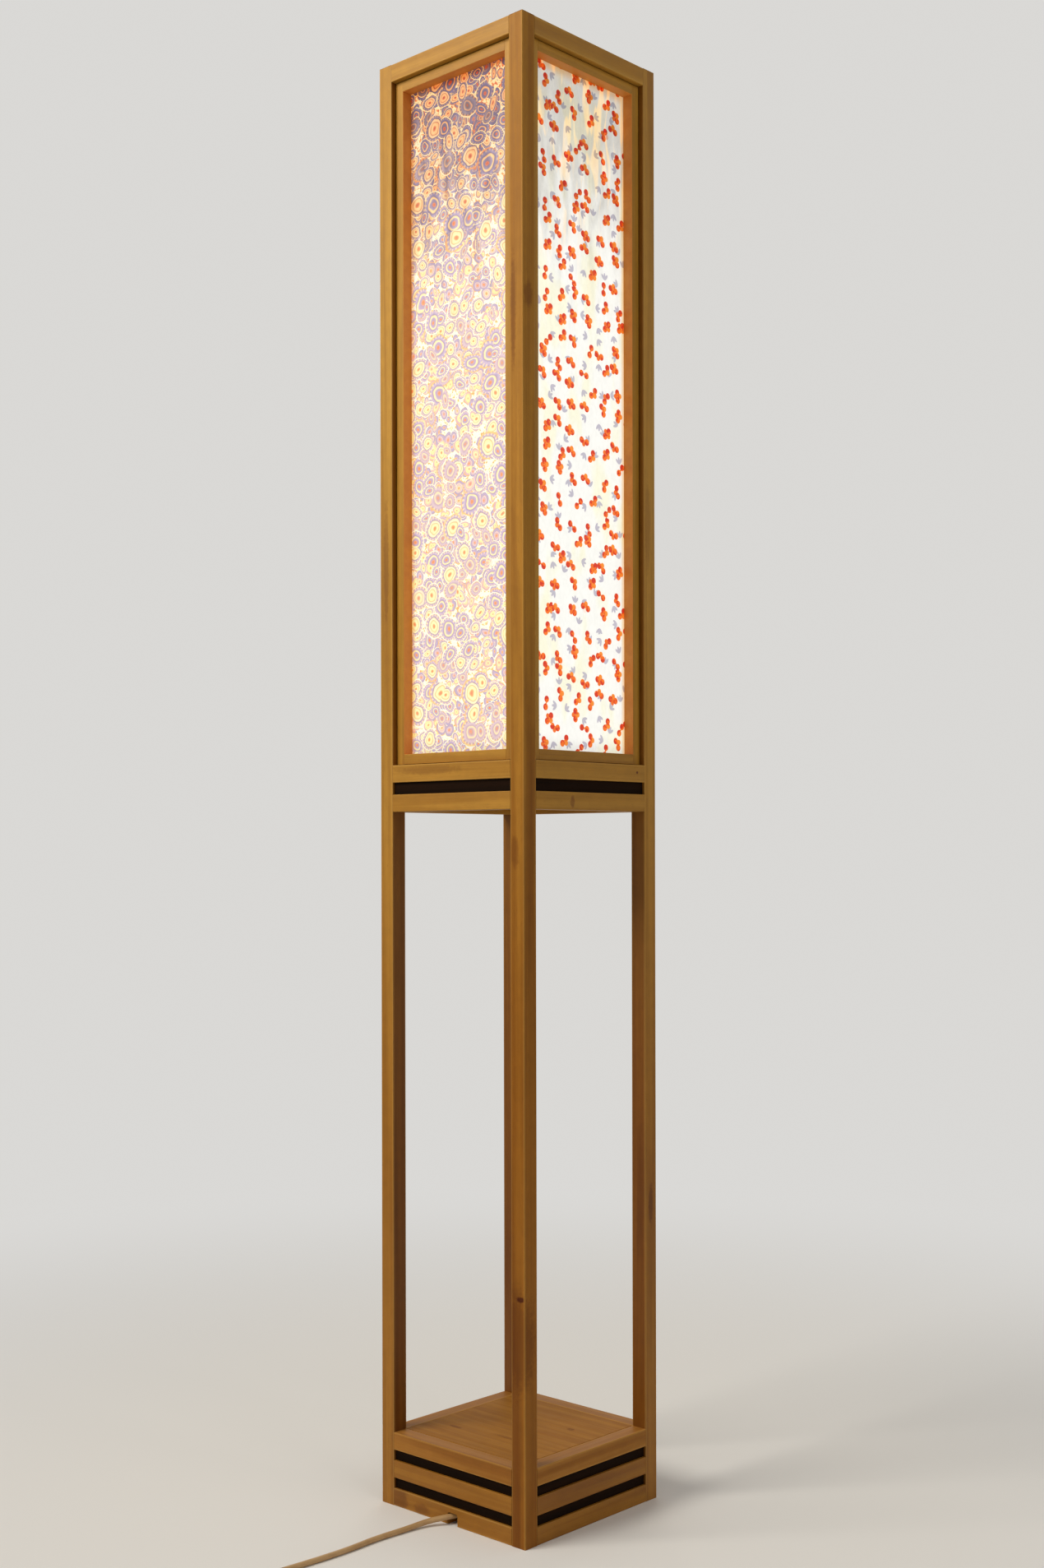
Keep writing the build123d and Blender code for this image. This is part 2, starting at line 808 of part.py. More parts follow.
def switch_halves():
    """The base and the cover of the cord switch, around the cord's way through both ends."""
    middle = Pos(*switch_centre)
    base = extrude(switch_outline(), switch_base_height)
    base = fillet(base.edges().group_by(Axis.Z)[0], switch_edge / 2)
    cover = Pos(0, 0, switch_base_height) * extrude(switch_outline(), switch_cover_height)
    cover = fillet(cover.edges().group_by(Axis.Z)[-1], switch_edge)
    pocket = block(
        (-rocker_width / 2 - rocker_side_gap, rocker_width / 2 + rocker_side_gap),
        (-rocker_pocket_length / 2, rocker_pocket_length / 2),
        (rocker_pocket_floor, switch_base_height + switch_cover_height + 1.0),
    )
    pivot = Rot(0, 90, 0) * Cylinder(
        trunnion_radius + trunnion_fit, rocker_width + 2 * trunnion_length + trunnion_fit
    )
    cover = cover - pocket - Pos(0, 0, rocker_pivot_height) * pivot
    return middle * base, middle * cover


def rocker():
    """The rocker, resting with its near end down, with a trunnion on each side."""
    half = rocker_length / 2
    profile = [
        (-half, rocker_end_rise),
        (0, rocker_end_rise - rocker_dip),
        (half, rocker_end_rise),
        (rocker_foot_length / 2, -rocker_foot),
        (-rocker_foot_length / 2, -rocker_foot),
    ]
    face = Plane.YZ * make_face(Polyline(*profile, close=True))
    body = extrude(face, rocker_width / 2, both=True)
    ends = [e for e in body.edges().filter_by(Axis.X) if e.center().Z > rocker_end_rise - 0.1]
    body = fillet(ends, arris)
    body += Rot(0, 90, 0) * Cylinder(trunnion_radius, rocker_width + 2 * trunnion_length)
    body = Rot(-rocker_tilt, 0, 0) * body
    return Pos(switch_centre[0], switch_centre[1], rocker_pivot_height) * body


def plug_body():
    """The moulded plug, lying flat: a waisted grip with a round neck, and the pins' sleeves."""
    half, waist = plug_width / 2, plug_waist_width / 2
    waist_start = plug_neck_length * 0.6
    outline = make_face(
        Polyline(
            (-waist, waist_start),
            (-half, waist_start + plug_shoulder),
            (-half, plug_length),
            (half, plug_length),
            (half, waist_start + plug_shoulder),
            (waist, waist_start),
            close=True,
        )
    )
    shoulders = outline.vertices().filter_by_position(Axis.Y, waist_start + 1, plug_length - 1)
    outline = fillet(shoulders, plug_corner)
    grip = extrude(outline, plug_thickness / 2, both=True)
    grip = chamfer(grip.faces().filter_by(Axis.Z).edges(), plug_edge)
    neck = Cone(plug_rear_radius, plug_neck_radius, plug_neck_length)
    body = grip + Pos(0, plug_neck_length / 2, 0) * Rot(-90, 0, 0) * neck
    body = Pos(plug_rear[0], plug_rear[1], plug_axis_height) * body
    return body + [
        Pos(x, y + plug_sleeve_length / 2 - 0.5, z)
        * Rot(90, 0, 0)
        * Cylinder(plug_sleeve_radius, plug_sleeve_length + 1.0)
        for x, y, z in plug_pin_roots()
    ]


def plug_pin_roots():
    """Where the two pins leave the plug's front."""
    y = plug_rear[1] + plug_length
    return [(plug_rear[0] + sign * plug_pin_spacing / 2, y, plug_axis_height) for sign in (-1, 1)]


def plug_pins():
    """The bare ends of the two pins, beyond their sleeves."""
    pins = []
    for x, y, z in plug_pin_roots():
        pin = Cylinder(plug_pin_radius, plug_pin_length)
        pin = chamfer(pin.edges().group_by(Axis.Z)[-1], plug_pin_radius * 0.5)
        middle = y + plug_sleeve_length + plug_pin_length / 2
        pins.append(Pos(x, middle, z) * Rot(-90, 0, 0) * pin)
    return pins


# ---------------------------------------------------------------- build every node
def build_frame():
    """Posts, rails, slips and boards."""
    for name, turn in corners.items():
        body = turned(post(), turn)
        if name == "back_right":
            for cut in lead_groove():
                body -= cut
        save(f"post_{name}", body)
    save("groove_cover", groove_cover())

    for name, turn in sides.items():
        save(f"top_rail_{name}", turned(plain_rail(rail_levels["top"]), turn))
        save(f"lantern_rail_{name}", turned(plain_rail(rail_levels["lantern_upper"]), turn))
        shelf_groove_bottom = shelf_top - shelf_thickness
        shelf_rail = grooved_rail(rail_levels["shelf"], shelf_groove_bottom, shelf_tongue)
        save(f"shelf_rail_{name}", turned(shelf_rail, turn))

    lower = grooved_rail(rail_levels["lantern_lower"], floor_bottom, floor_thickness)
    save("lantern_lower_rails", *[turned(lower, turn) for turn in sides.values()])
    middle = plain_rail(rail_levels["base_middle"])
    save("base_middle_rails", *[turned(middle, turn) for turn in sides.values()])
    bottom = plain_rail(rail_levels["base_bottom"])
    others = [turn for name, turn in sides.items() if name != "front"]
    save("base_bottom_rails", *[turned(bottom, turn) for turn in others])
    save("base_bottom_rail_front", notched_rail())

    slips = {
        "base_lower_slips": slip(rail_height, base_slot),
        "base_upper_slips": slip(base_middle_bottom + rail_height, base_slot),
        "lantern_slips": slip(lantern_underside + rail_height, lantern_slot),
    }
    for name, piece in slips.items():
        save(name, *[turned(piece, turn) for turn in sides.values()])

    save("shelf_board", shelf_board())
    save("lantern_floor", lantern_floor())


def build_screens():
    """Screen frames, screens, beads and magnets."""
    for name, turn in sides.items():
        pieces = [turned(piece, turn) for piece in panel_pieces()]
        if name == "back":
            holes = magnets(screen_plane, 1, tenon_fit)
            pieces = [piece - holes for piece in pieces[:2]] + pieces[2:]
        save(f"screen_frame_{name}", *pieces)
        save(f"screen_{name}", turned(screen(), turn))
    beads = [bead(x_sign, -1) for x_sign in (-1, 1)]
    holes = magnets(bead_face - bead_clearance, -1, tenon_fit)
    beads += [bead(x_sign, 1) - holes for x_sign in (-1, 1)]
    save("corner_beads", *beads)
    save("screen_magnets", *magnets(screen_plane, 1))
    save("bead_magnets", *magnets(bead_face - bead_clearance, -1))


def build_light():
    """The light fitting inside the lantern."""
    low, high = holder_lows()
    save("lampholders", holder(low, True), holder(high, False))
    save("holder_rotors", rotor(low + holder_thickness, 1), rotor(high, -1))
    save("tube_caps", tube_cap(tube_low, 1), tube_cap(tube_high, -1))
    save("lamp_tube", glass())
    save("spine_channel", spine_channel())
    save("spine_cover", spine_cover())
    save("ballast", ballast())
    save("spine_foot", spine_foot())
    screws = [place * pan_screw(floor_screw_length) for place in floor_screw_places()]
    screws += [place * pan_screw(spine_screw_length) for place in spine_screw_places()]
    save("spine_screws", *screws)


def build_cord():
    """The lead inside the lamp, and the free cord with its switch and plug."""
    save("internal_lead", round_tube(lead_route, cord_radius))
    save("lead_clip", lead_clip(clamp_face + clip_run))
    save("lead_grommet", grommet())
    save("cord_clamp", cord_clamp())
    save("clamp_screws", *[place * pan_screw(clamp_screw_length) for place in clamp_places()])
    for name, route in (("near", near_route), ("mid", mid_route), ("end", end_route)):
        save(f"cord_{name}", round_tube(route, cord_radius))
        print(name, "radii", [round(radius, 1) for radius in route_radii(route)])
    print("lead radii", [round(radius, 1) for radius in route_radii(lead_route)])
    save("cord_coil", coil())
    base, cover = switch_halves()
    save("switch_base", base)
    save("switch_cover", cover)
    save("switch_rocker", rocker())
    save("plug_body", plug_body())
    save("plug_pins", *plug_pins())


os.makedirs("parts", exist_ok=True)
build_frame()
build_screens()
build_light()
build_cord()
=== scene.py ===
"""Andon floor lamp: finishes, cord, light and studio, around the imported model.

The lamp is a square lantern on four posts. Lengths are metres, +Z is up, the front is -Y and
the right side is +X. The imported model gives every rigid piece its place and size.
"""
from __future__ import annotations

import logging
import math
from dataclasses import dataclass, field
from enum import Enum
from functools import partial, reduce
from typing import Iterable, Sequence, Union

import bpy
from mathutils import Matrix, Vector


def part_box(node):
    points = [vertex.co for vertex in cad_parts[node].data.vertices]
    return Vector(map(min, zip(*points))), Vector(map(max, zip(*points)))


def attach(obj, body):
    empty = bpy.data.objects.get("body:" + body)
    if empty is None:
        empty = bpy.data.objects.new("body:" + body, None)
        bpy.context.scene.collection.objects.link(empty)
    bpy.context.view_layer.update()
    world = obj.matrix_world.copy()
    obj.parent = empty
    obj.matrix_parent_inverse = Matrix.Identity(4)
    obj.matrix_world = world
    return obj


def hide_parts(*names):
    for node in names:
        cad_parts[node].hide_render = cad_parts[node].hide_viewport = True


log = logging.getLogger("andon")

Socket = bpy.types.NodeSocket
Value = Union[float, Sequence[float], Socket]
Point = tuple[float, float, float]
Colour = tuple[float, ...]
Stops = Sequence[tuple[float, int, int, int]]

FRAME_BODY = "lamp_frame"
OPENING_LOW, OPENING_HIGH = 0.7818, 1.4707  # heights of a screen frame's opening
OPENING_SIDE = 0.07295  # half the opening's width, and a hair
STILE_SIDE = 0.0727  # where a screen frame's stiles start
POST_INNER = 0.0845  # where a post's inner faces are
POST_TOP = 1.4996  # just under the posts' end grain
WEAR_AND_HIGHLIGHT_START, WEAR_AND_HIGHLIGHT_FULL = 0.0022, 0.0006  # how far in from an edge that is worn and given a painted highlight


def srgb(red: float, green: float, blue: float) -> Colour:
    """Turn 8-bit screen values into the linear colour that a shader takes.

    Args:
        red: Red, 0 to 255.
        green: Green, 0 to 255.
        blue: Blue, 0 to 255.

    Returns:
        The linear colour, opaque.
    """
    parts = (value / 255.0 for value in (red, green, blue))
    return (*(part / 12.92 if part <= 0.04045 else ((part + 0.055) / 1.055) ** 2.4
              for part in parts), 1.0)


class Grain(Enum):
    """Which way the wood runs in a node."""

    ALONG_X = "x"
    ALONG_Y = "y"
    ALONG_Z = "z"
    RING = "ring"
    SCREEN_X = "screen_x"
    SCREEN_Y = "screen_y"


class Print(Enum):
    """The two printed patterns of the screens."""

    RINGS = "rings"
    BERRIES = "berries"


class Graph:
    """A node tree that grows as its nodes are added and joined."""

    def __init__(self, tree: bpy.types.NodeTree) -> None:
        """Start on a tree."""
        self.tree = tree

    def feed(self, socket: Socket, value: Value) -> None:
        """Join a socket to another, or set its value.

        Args:
            socket: The input to feed.
            value: An output socket, or a plain value.
        """
        if isinstance(value, Socket):
            self.tree.links.new(value, socket)
        else:
            socket.default_value = value

    def add(self, kind: str, feeds: Iterable[tuple[Union[str, int], Value]] = (),
            **settings: object) -> bpy.types.Node:
        """Add a node, set its options and feed its inputs.

        Args:
            kind: The node's type name.
            feeds: Inputs by name or number, each with what feeds it.
            **settings: Attributes to set on the node.

        Returns:
            The new node.
        """
        node = self.tree.nodes.new(kind)
        for name, value in settings.items():
            setattr(node, name, value)
        for name, value in feeds:
            self.feed(node.inputs[name], value)
        return node

    def math(self, operation: str, *parts: Value) -> Socket:
        """Return one scalar operation."""
        return self.add("ShaderNodeMath", enumerate(parts), operation=operation).outputs[0]

    def times(self, *values: Value) -> Socket:
        """Return the product of some values."""
        return reduce(partial(self.math, "MULTIPLY"), values)

    def most(self, *values: Value) -> Socket:
        """Return the greatest of some values."""
        return reduce(partial(self.math, "MAXIMUM"), values)

    def away(self, value: Value, level: float = 0.0) -> Socket:
        """Return how far a value is from a level."""
        return self.math("ABSOLUTE", self.math("SUBTRACT", value, level))

    def vector(self, operation: str, *parts: Value) -> Socket:
        """Return one vector operation, which is a value for LENGTH and DISTANCE."""
        node = self.add("ShaderNodeVectorMath", enumerate(parts), operation=operation)
        return node.outputs["Value" if operation in ("LENGTH", "DISTANCE") else "Vector"]

    def join(self, *parts: Value) -> Socket:
        """Return a vector made of two or three values."""
        return self.add("ShaderNodeCombineXYZ", enumerate(parts)).outputs[0]

    def split(self, vector: Value) -> tuple[Socket, ...]:
        """Return a vector's X, Y and Z."""
        return tuple(self.add("ShaderNodeSeparateXYZ", [(0, vector)]).outputs)

    def spin(self, vector: Value, angle: Value) -> Socket:
        """Return a vector turned about Z."""
        return self.add("ShaderNodeVectorRotate", [("Vector", vector), ("Angle", angle)],
                        rotation_type="Z_AXIS").outputs[0]

    def choose(self, share: Value, first: Value, second: Value) -> Socket:
        """Return two vectors mixed, by the second's share."""
        return self.add("ShaderNodeMix", [(0, share), (4, first), (5, second)],
                        data_type="VECTOR").outputs[1]

    def mix(self, share: Value, first: Value, second: Value, blend: str = "MIX",
            held: bool = False) -> Socket:
        """Return two colours mixed, by the second's share, and held under 1 if asked."""
        return self.add("ShaderNodeMix", [(0, share), (6, first), (7, second)],
                        data_type="RGBA", blend_type=blend, clamp_result=held).outputs[2]

    def tint(self, share: Value, colour: Value, by: Value) -> Socket:
        """Return a colour multiplied by another, by a share."""
        return self.mix(share, colour, by, "MULTIPLY")

    def dim(self, colour: Value, by: Value) -> Socket:
        """Return a colour multiplied by a value."""
        return self.tint(1.0, colour, self.join(by, by, by))

    def noise(self, place: Value, scale: float = 1.0, detail: float = 2.0,
              roughness: float = 0.5, distortion: float = 0.0, output: int = 0) -> Socket:
        """Return smooth noise, as a value (output 0) or as a colour (output 1)."""
        feeds = {"Vector": place, "Scale": scale, "Detail": detail, "Roughness": roughness,
                 "Distortion": distortion}
        return self.add("ShaderNodeTexNoise", feeds.items()).outputs[output]

    def remap(self, value: Value, low: float, high: float, start: float = 0.0,
              end: float = 1.0) -> Socket:
        """Return a value eased from one range into another, and held at its ends."""
        return self.add("ShaderNodeMapRange", enumerate((value, low, high, start, end)),
                        interpolation_type="SMOOTHSTEP").outputs[0]

    def inside(self, value: Value, edge: float, soft: float) -> Socket:
        """Return a soft mask that is 1 where a value is under an edge."""
        return self.remap(value, edge - soft, edge + soft, 1.0, 0.0)

    def cells(self, sheet: Value, count: Value,
              randomness: float) -> tuple[tuple[Socket, ...], Socket]:
        """Scatter cells on a flat sheet.

        Args:
            sheet: Flat coordinates on the sheet.
            count: How many cells to the metre.
            randomness: How far they leave a grid.

        Returns:
            Three random values of the nearest cell, and the offset from its middle.
        """
        feeds = {"Vector": sheet, "Scale": count, "Randomness": randomness}
        node = self.add("ShaderNodeTexVoronoi", feeds.items(), voronoi_dimensions="2D")
        offset = self.vector("SUBTRACT", sheet, node.outputs["Position"])
        flat = self.vector("MULTIPLY", offset, (1.0, 1.0, 0.0))
        return self.split(node.outputs["Color"]), flat

    def ramp(self, value: Value, stops: Stops) -> Socket:
        """Add a colour ramp.

        Args:
            value: Where on the ramp.
            stops: Places with their red, green and blue, in order.

        Returns:
            The colour.
        """
        node = self.add("ShaderNodeValToRGB", [(0, value)])
        elements = node.color_ramp.elements
        while len(elements) < len(stops):
            elements.new(1.0)
        for element, (place, *colour) in zip(elements, stops):
            element.position = place
            element.color = srgb(*colour)
        return node.outputs[0]


class EffectGroup:
    """A shader node group with named sockets, built once and placed in many materials."""

    title = ""
    takes: tuple[str, ...] = ()
    gives: tuple[str, ...] = ()
    vectors = ("Along", "Place", "Middle", "Reach", "Sheet")
    colours = ("Pale", "Deep", "Streak", "Color")

    def __init__(self) -> None:
        """Make the group and its sockets, and draw it."""
        self.tree = bpy.data.node_groups.new(self.title, "ShaderNodeTree")
        for side, names in (("INPUT", self.takes), ("OUTPUT", self.gives)):
            for name in names:
                kind = ("NodeSocketVector" if name in self.vectors else
                        "NodeSocketColor" if name in self.colours else "NodeSocketFloat")
                self.tree.interface.new_socket(name, in_out=side, socket_type=kind)
        self.graph = Graph(self.tree)
        self.given = self.graph.add("NodeGroupInput").outputs
        self.out = self.graph.add("NodeGroupOutput").inputs
        self.draw()

    def draw(self) -> None:
        """Add the nodes between the group's inputs and outputs."""
        raise NotImplementedError

    def give(self, **values: Value) -> None:
        """Feed the group's outputs, by name."""
        for name, value in values.items():
            self.graph.feed(self.out[name], value)

    def place(self, graph: Graph, **values: Value) -> bpy.types.bpy_prop_collection:
        """Place the group in a material.

        Args:
            graph: The material's graph.
            **values: Inputs by name, with _ for a space.

        Returns:
            The placed group's outputs.
        """
        feeds = [(name.replace("_", " ").capitalize(), part) for name, part in values.items()]
        return graph.add("ShaderNodeGroup", feeds, node_tree=self.tree).outputs


class WoodGrain(EffectGroup):
    """Long grained hardwood: fibres, soft bands, brown streaks, flecks and end grain."""

    title = "wood grain"
    takes = ("Along", "Seed", "Pale", "Deep", "Streak", "Streaks", "Fleck", "End grain")
    gives = ("Color", "Roughness", "Height")

    def draw(self) -> None:
        """Draw the grain."""
        g, given = self.graph, self.given
        shift = g.vector("MULTIPLY", (0.371, 0.613, 1.737), given["Seed"])
        place = g.vector("ADD", given["Along"], shift)

        def drawn_out(across: float, along: float, detail: float = 2.0,
                      distortion: float = 0.0) -> Socket:
            """Return noise drawn out along the grain."""
            stretched = g.vector("MULTIPLY", place, (across, across, along))
            return g.noise(stretched, 1.0, detail, 0.55, distortion)

        fibre = drawn_out(760.0, 16.0)
        band = drawn_out(120.0, 2.6, distortion=0.35)
        tone = drawn_out(34.0, 2.3, distortion=0.3)
        figure = drawn_out(88.0, 64.0, 1.0)
        fleck = g.remap(drawn_out(1300.0, 120.0, 1.0), 0.62, 0.72)
        colour = g.mix(g.remap(band, 0.34, 0.68), given["Pale"], given["Deep"])
        streak = g.times(g.remap(tone, 0.50, 0.74), given["Streaks"])
        colour = g.mix(streak, colour, given["Streak"])
        shade = g.math("ADD", g.remap(fibre, 0.30, 0.70, 0.955, 1.03),
                       g.remap(figure, 0.35, 0.65, -0.03, 0.025))
        colour = g.mix(g.times(fleck, given["Fleck"]), g.dim(colour, shade), given["Streak"])
        flat = g.vector("MULTIPLY", place, (1.0, 1.0, 0.0))
        rings = g.math("MULTIPLY_ADD", g.vector("LENGTH", flat), 2900.0,
                       g.times(g.noise(flat, 90.0), 5.0))
        end = g.mix(g.remap(g.math("SINE", rings), -0.6, 0.9), given["Deep"], given["Streak"])
        rough = g.remap(fibre, 0.3, 0.7, 0.40, 0.50)
        self.give(Color=g.mix(given["End grain"], colour, end),
                  Roughness=g.math("MULTIPLY_ADD", given["End grain"], 0.2, rough),
                  Height=g.math("SUBTRACT", fibre, g.times(fleck, 0.7)))


class StainMarks(EffectGroup):
    """A soft mark with a ragged outline at a place in the wood."""

    title = "stain mark"
    takes = ("Place", "Middle", "Reach")
    gives = ("Mask",)

    def draw(self) -> None:
        """Draw the mark."""
        g, given = self.graph, self.given
        offset = g.vector("SUBTRACT", given["Place"], given["Middle"])
        share = g.vector("LENGTH", g.vector("DIVIDE", offset, given["Reach"]))
        ragged = g.math("SUBTRACT", g.noise(given["Place"], 260.0, 3.0, 0.6), 0.5)
        share = g.math("MULTIPLY_ADD", ragged, 0.9, share)
        self.give(Mask=g.remap(share, 0.55, 1.15, 1.0, 0.0))


class RingMotifs(EffectGroup):
    """One layer of scattered concentric discs, in three rich palettes and two plain ones."""

    title = "ring motifs"
    takes = ("Sheet", "Cells", "Smallest", "Largest", "Share", "Beads", "Plain")
    gives = ("Color", "Mask")
    lilac: Stops = (
        (0.0, 198, 62, 24), (0.14, 232, 112, 50), (0.20, 128, 108, 146), (0.40, 132, 122, 172),
        (0.48, 250, 206, 150), (0.56, 244, 190, 140), (0.62, 104, 92, 142),
        (0.76, 142, 132, 180), (0.94, 126, 116, 166), (1.0, 92, 80, 124))
    peach: Stops = (
        (0.0, 184, 70, 34), (0.14, 228, 114, 52), (0.26, 253, 216, 162), (0.44, 248, 194, 140),
        (0.50, 206, 116, 78), (0.56, 252, 220, 176), (0.68, 248, 204, 162),
        (0.74, 100, 86, 128), (0.84, 146, 134, 178), (0.94, 132, 118, 160), (1.0, 188, 116, 96))
    grey: Stops = (
        (0.0, 212, 98, 46), (0.15, 144, 108, 112), (0.30, 150, 134, 160), (0.44, 238, 188, 144),
        (0.52, 136, 120, 150), (0.74, 160, 146, 174), (0.90, 124, 108, 142), (1.0, 206, 128, 88))
    plain_lilac: Stops = (
        (0.0, 210, 92, 42), (0.26, 226, 140, 92), (0.38, 140, 128, 172), (0.80, 124, 112, 162),
        (1.0, 104, 92, 138))
    plain_peach: Stops = (
        (0.0, 196, 84, 40), (0.30, 250, 204, 148), (0.66, 243, 172, 112), (0.84, 150, 128, 160),
        (1.0, 196, 116, 82))

    def draw(self) -> None:
        """Draw the discs."""
        g, given = self.graph, self.given
        drift = g.noise(given["Sheet"], 48.0, output=1)
        drift = g.vector("MULTIPLY", g.vector("SUBTRACT", drift, (0.5, 0.5, 0.5)),
                         (0.01, 0.01, 0.0))
        dice, offset = g.cells(g.vector("ADD", given["Sheet"], drift), given["Cells"], 0.85)
        across, up, _ = g.split(g.spin(offset, g.times(dice[2], 31.0)))
        slim = g.remap(g.math("FRACT", g.times(dice[1], 7.0)), 0.45, 0.95, 1.0, 1.7)
        across = g.times(across, slim)
        span = g.math("SUBTRACT", given["Largest"], given["Smallest"])
        radius = g.math("MULTIPLY_ADD", dice[0], span, given["Smallest"])
        reach = g.math("DIVIDE", g.vector("LENGTH", g.join(across, up)), radius)
        plain = g.mix(g.remap(dice[1], 0.52, 0.53), g.ramp(reach, self.plain_lilac),
                      g.ramp(reach, self.plain_peach))
        colour = g.mix(g.remap(dice[1], 0.40, 0.41), g.ramp(reach, self.lilac),
                       g.ramp(reach, self.peach))
        colour = g.mix(g.remap(dice[1], 0.78, 0.79), colour, g.ramp(reach, self.grey))
        colour = g.mix(given["Plain"], colour, plain)
        bead = g.math("SINE", g.times(g.math("ARCTAN2", up, across), 17.0))
        rim = g.times(g.inside(g.away(reach, 0.92), 0.09, 0.04), g.remap(bead, -0.2, 0.6),
                      given["Beads"])
        colour = g.mix(rim, colour, srgb(244, 196, 140))
        halo = g.mix(g.remap(dice[0], 0.6, 0.8), srgb(255, 240, 200), srgb(240, 150, 84))
        kept = g.remap(g.math("SUBTRACT", given["Share"], dice[2]), 0.0, 0.004)
        self.give(Color=g.mix(g.inside(reach, 1.0, 0.03), halo, colour),
                  Mask=g.times(g.inside(reach, 1.10, 0.03), kept))


class BerryMotifs(EffectGroup):
    """Scattered groups of two to four berries on a short stalk."""

    title = "berry motifs"
    takes = ("Sheet", "Cells")
    gives = ("Color", "Mask")

    def draw(self) -> None:
        """Draw the berries."""
        g, given = self.graph, self.given
        dice, offset = g.cells(given["Sheet"], given["Cells"], 0.66)
        local = g.spin(offset, g.remap(dice[0], 0.0, 1.0, -1.1, 1.1))

        def disc(x: float, y: float, radius: float) -> Socket:
            """Return a soft disc at a place beside the group's middle."""
            return g.inside(g.vector("DISTANCE", local, (x, y, 0.0)), radius, 0.00025)

        red = g.most(disc(-0.0010, 0.0040, 0.0034), disc(0.0012, -0.0038, 0.0035))
        amber = g.times(disc(0.0034, 0.0014, 0.0029), g.remap(dice[1], 0.30, 0.31))
        small = g.times(disc(-0.0030, -0.0006, 0.0026), g.remap(dice[2], 0.45, 0.46))
        stalk = g.vector("DISTANCE", g.vector("MULTIPLY", local, (1.0, 0.20, 0.0)),
                         (0.0002, 0.0002, 0.0))
        side = g.math("MULTIPLY_ADD", g.split(local)[0], 55.0,
                      g.noise(given["Sheet"], 300.0, 1.0))
        bright = g.remap(side, 0.42, 0.66)
        colour = g.mix(amber, srgb(246, 140, 30),
                       g.mix(bright, srgb(232, 78, 10), srgb(248, 140, 34)))
        colour = g.mix(small, colour, srgb(240, 106, 18))
        scarlet = g.mix(bright, srgb(212, 36, 0), srgb(252, 112, 0))
        self.give(Color=g.mix(red, colour, scarlet),
                  Mask=g.most(red, amber, small, g.inside(stalk, 0.0010, 0.0003)))


class Sprigs(EffectGroup):
    """Small pale grey sprigs, each of three short leaves."""

    title = "pale sprigs"
    takes = ("Sheet", "Cells")
    gives = ("Mask",)

    def draw(self) -> None:
        """Draw the sprigs."""
        g, given = self.graph, self.given
        dice, offset = g.cells(given["Sheet"], given["Cells"], 0.8)
        leaves = []
        for lean in (-0.6, 0.1, 0.8):
            turned = g.spin(offset, g.math("MULTIPLY_ADD", dice[0], math.tau, lean))
            leaf = g.vector("MULTIPLY", turned, (1.0, 0.40, 0.0))
            leaf = g.vector("DISTANCE", leaf, (0.0, 0.0014, 0.0))
            leaves.append(g.inside(leaf, 0.00150, 0.0003))
        self.give(Mask=g.most(*leaves))


class GlowProfile(EffectGroup):
    """How the tube lights a sheet: evenly, but weakly and in streaks at its upper end."""

    title = "glow profile"
    takes = ("Across", "Height")
    gives = ("Share", "Dusk", "Rim")

    def draw(self) -> None:
        """Draw the profile."""
        g, across, height = self.graph, self.given["Across"], self.given["Height"]
        place = g.join(g.times(across, 70.0), g.times(height, 16.0))
        blotch = g.math("SUBTRACT", g.noise(place, distortion=0.7), 0.5)
        out = g.away(across)
        self.give(Share=g.times(g.remap(height, 0.778, 0.800, 0.78, 1.0),
                                g.remap(out, 0.062, 0.074, 1.0, 0.92)),
                  Dusk=g.remap(g.math("MULTIPLY_ADD", blotch, -0.26, height), 1.23, 1.450),
                  Rim=g.most(g.remap(out, 0.0668, 0.0725), g.remap(height, 1.459, 1.4705)))


@dataclass
class Effects:
    """The shared node groups."""

    wood: WoodGrain = field(default_factory=WoodGrain)
    stains: StainMarks = field(default_factory=StainMarks)
    rings: RingMotifs = field(default_factory=RingMotifs)
    berries: BerryMotifs = field(default_factory=BerryMotifs)
    sprigs: Sprigs = field(default_factory=Sprigs)
    glow: GlowProfile = field(default_factory=GlowProfile)


class Finish:
    """A material that is being built, with its Principled shader and Object coordinates."""

    def __init__(self, name: str, constants: dict[str, float]) -> None:
        """Make the material.

        Args:
            name: Its name.
            constants: Values for the shader's own sockets.
        """
        self.material = bpy.data.materials.new(name)
        self.material.use_nodes = True
        self.graph = Graph(self.material.node_tree)
        self.shader = self.material.node_tree.nodes["Principled BSDF"]
        for socket, value in constants.items():
            self.feed(socket, value)
        self.place = self.graph.add("ShaderNodeTexCoord").outputs["Object"]
        self.x, self.y, self.z = self.graph.split(self.place)

    def feed(self, socket: str, value: Value) -> None:
        """Feed one of the shader's sockets."""
        self.graph.feed(self.shader.inputs[socket], value)

    def bump(self, height: Value, strength: float, distance: float) -> None:
        """Raise the surface by a height, of which 1 is a distance in metres."""
        feeds = {"Height": height, "Strength": strength, "Distance": distance}
        self.feed("Normal", self.graph.add("ShaderNodeBump", feeds.items()).outputs[0])


@dataclass(frozen=True)
class Stain:
    """One darker mark in the wood: a knot, a growth mark or a patch."""

    middle: Point
    reach: Point
    strength: float


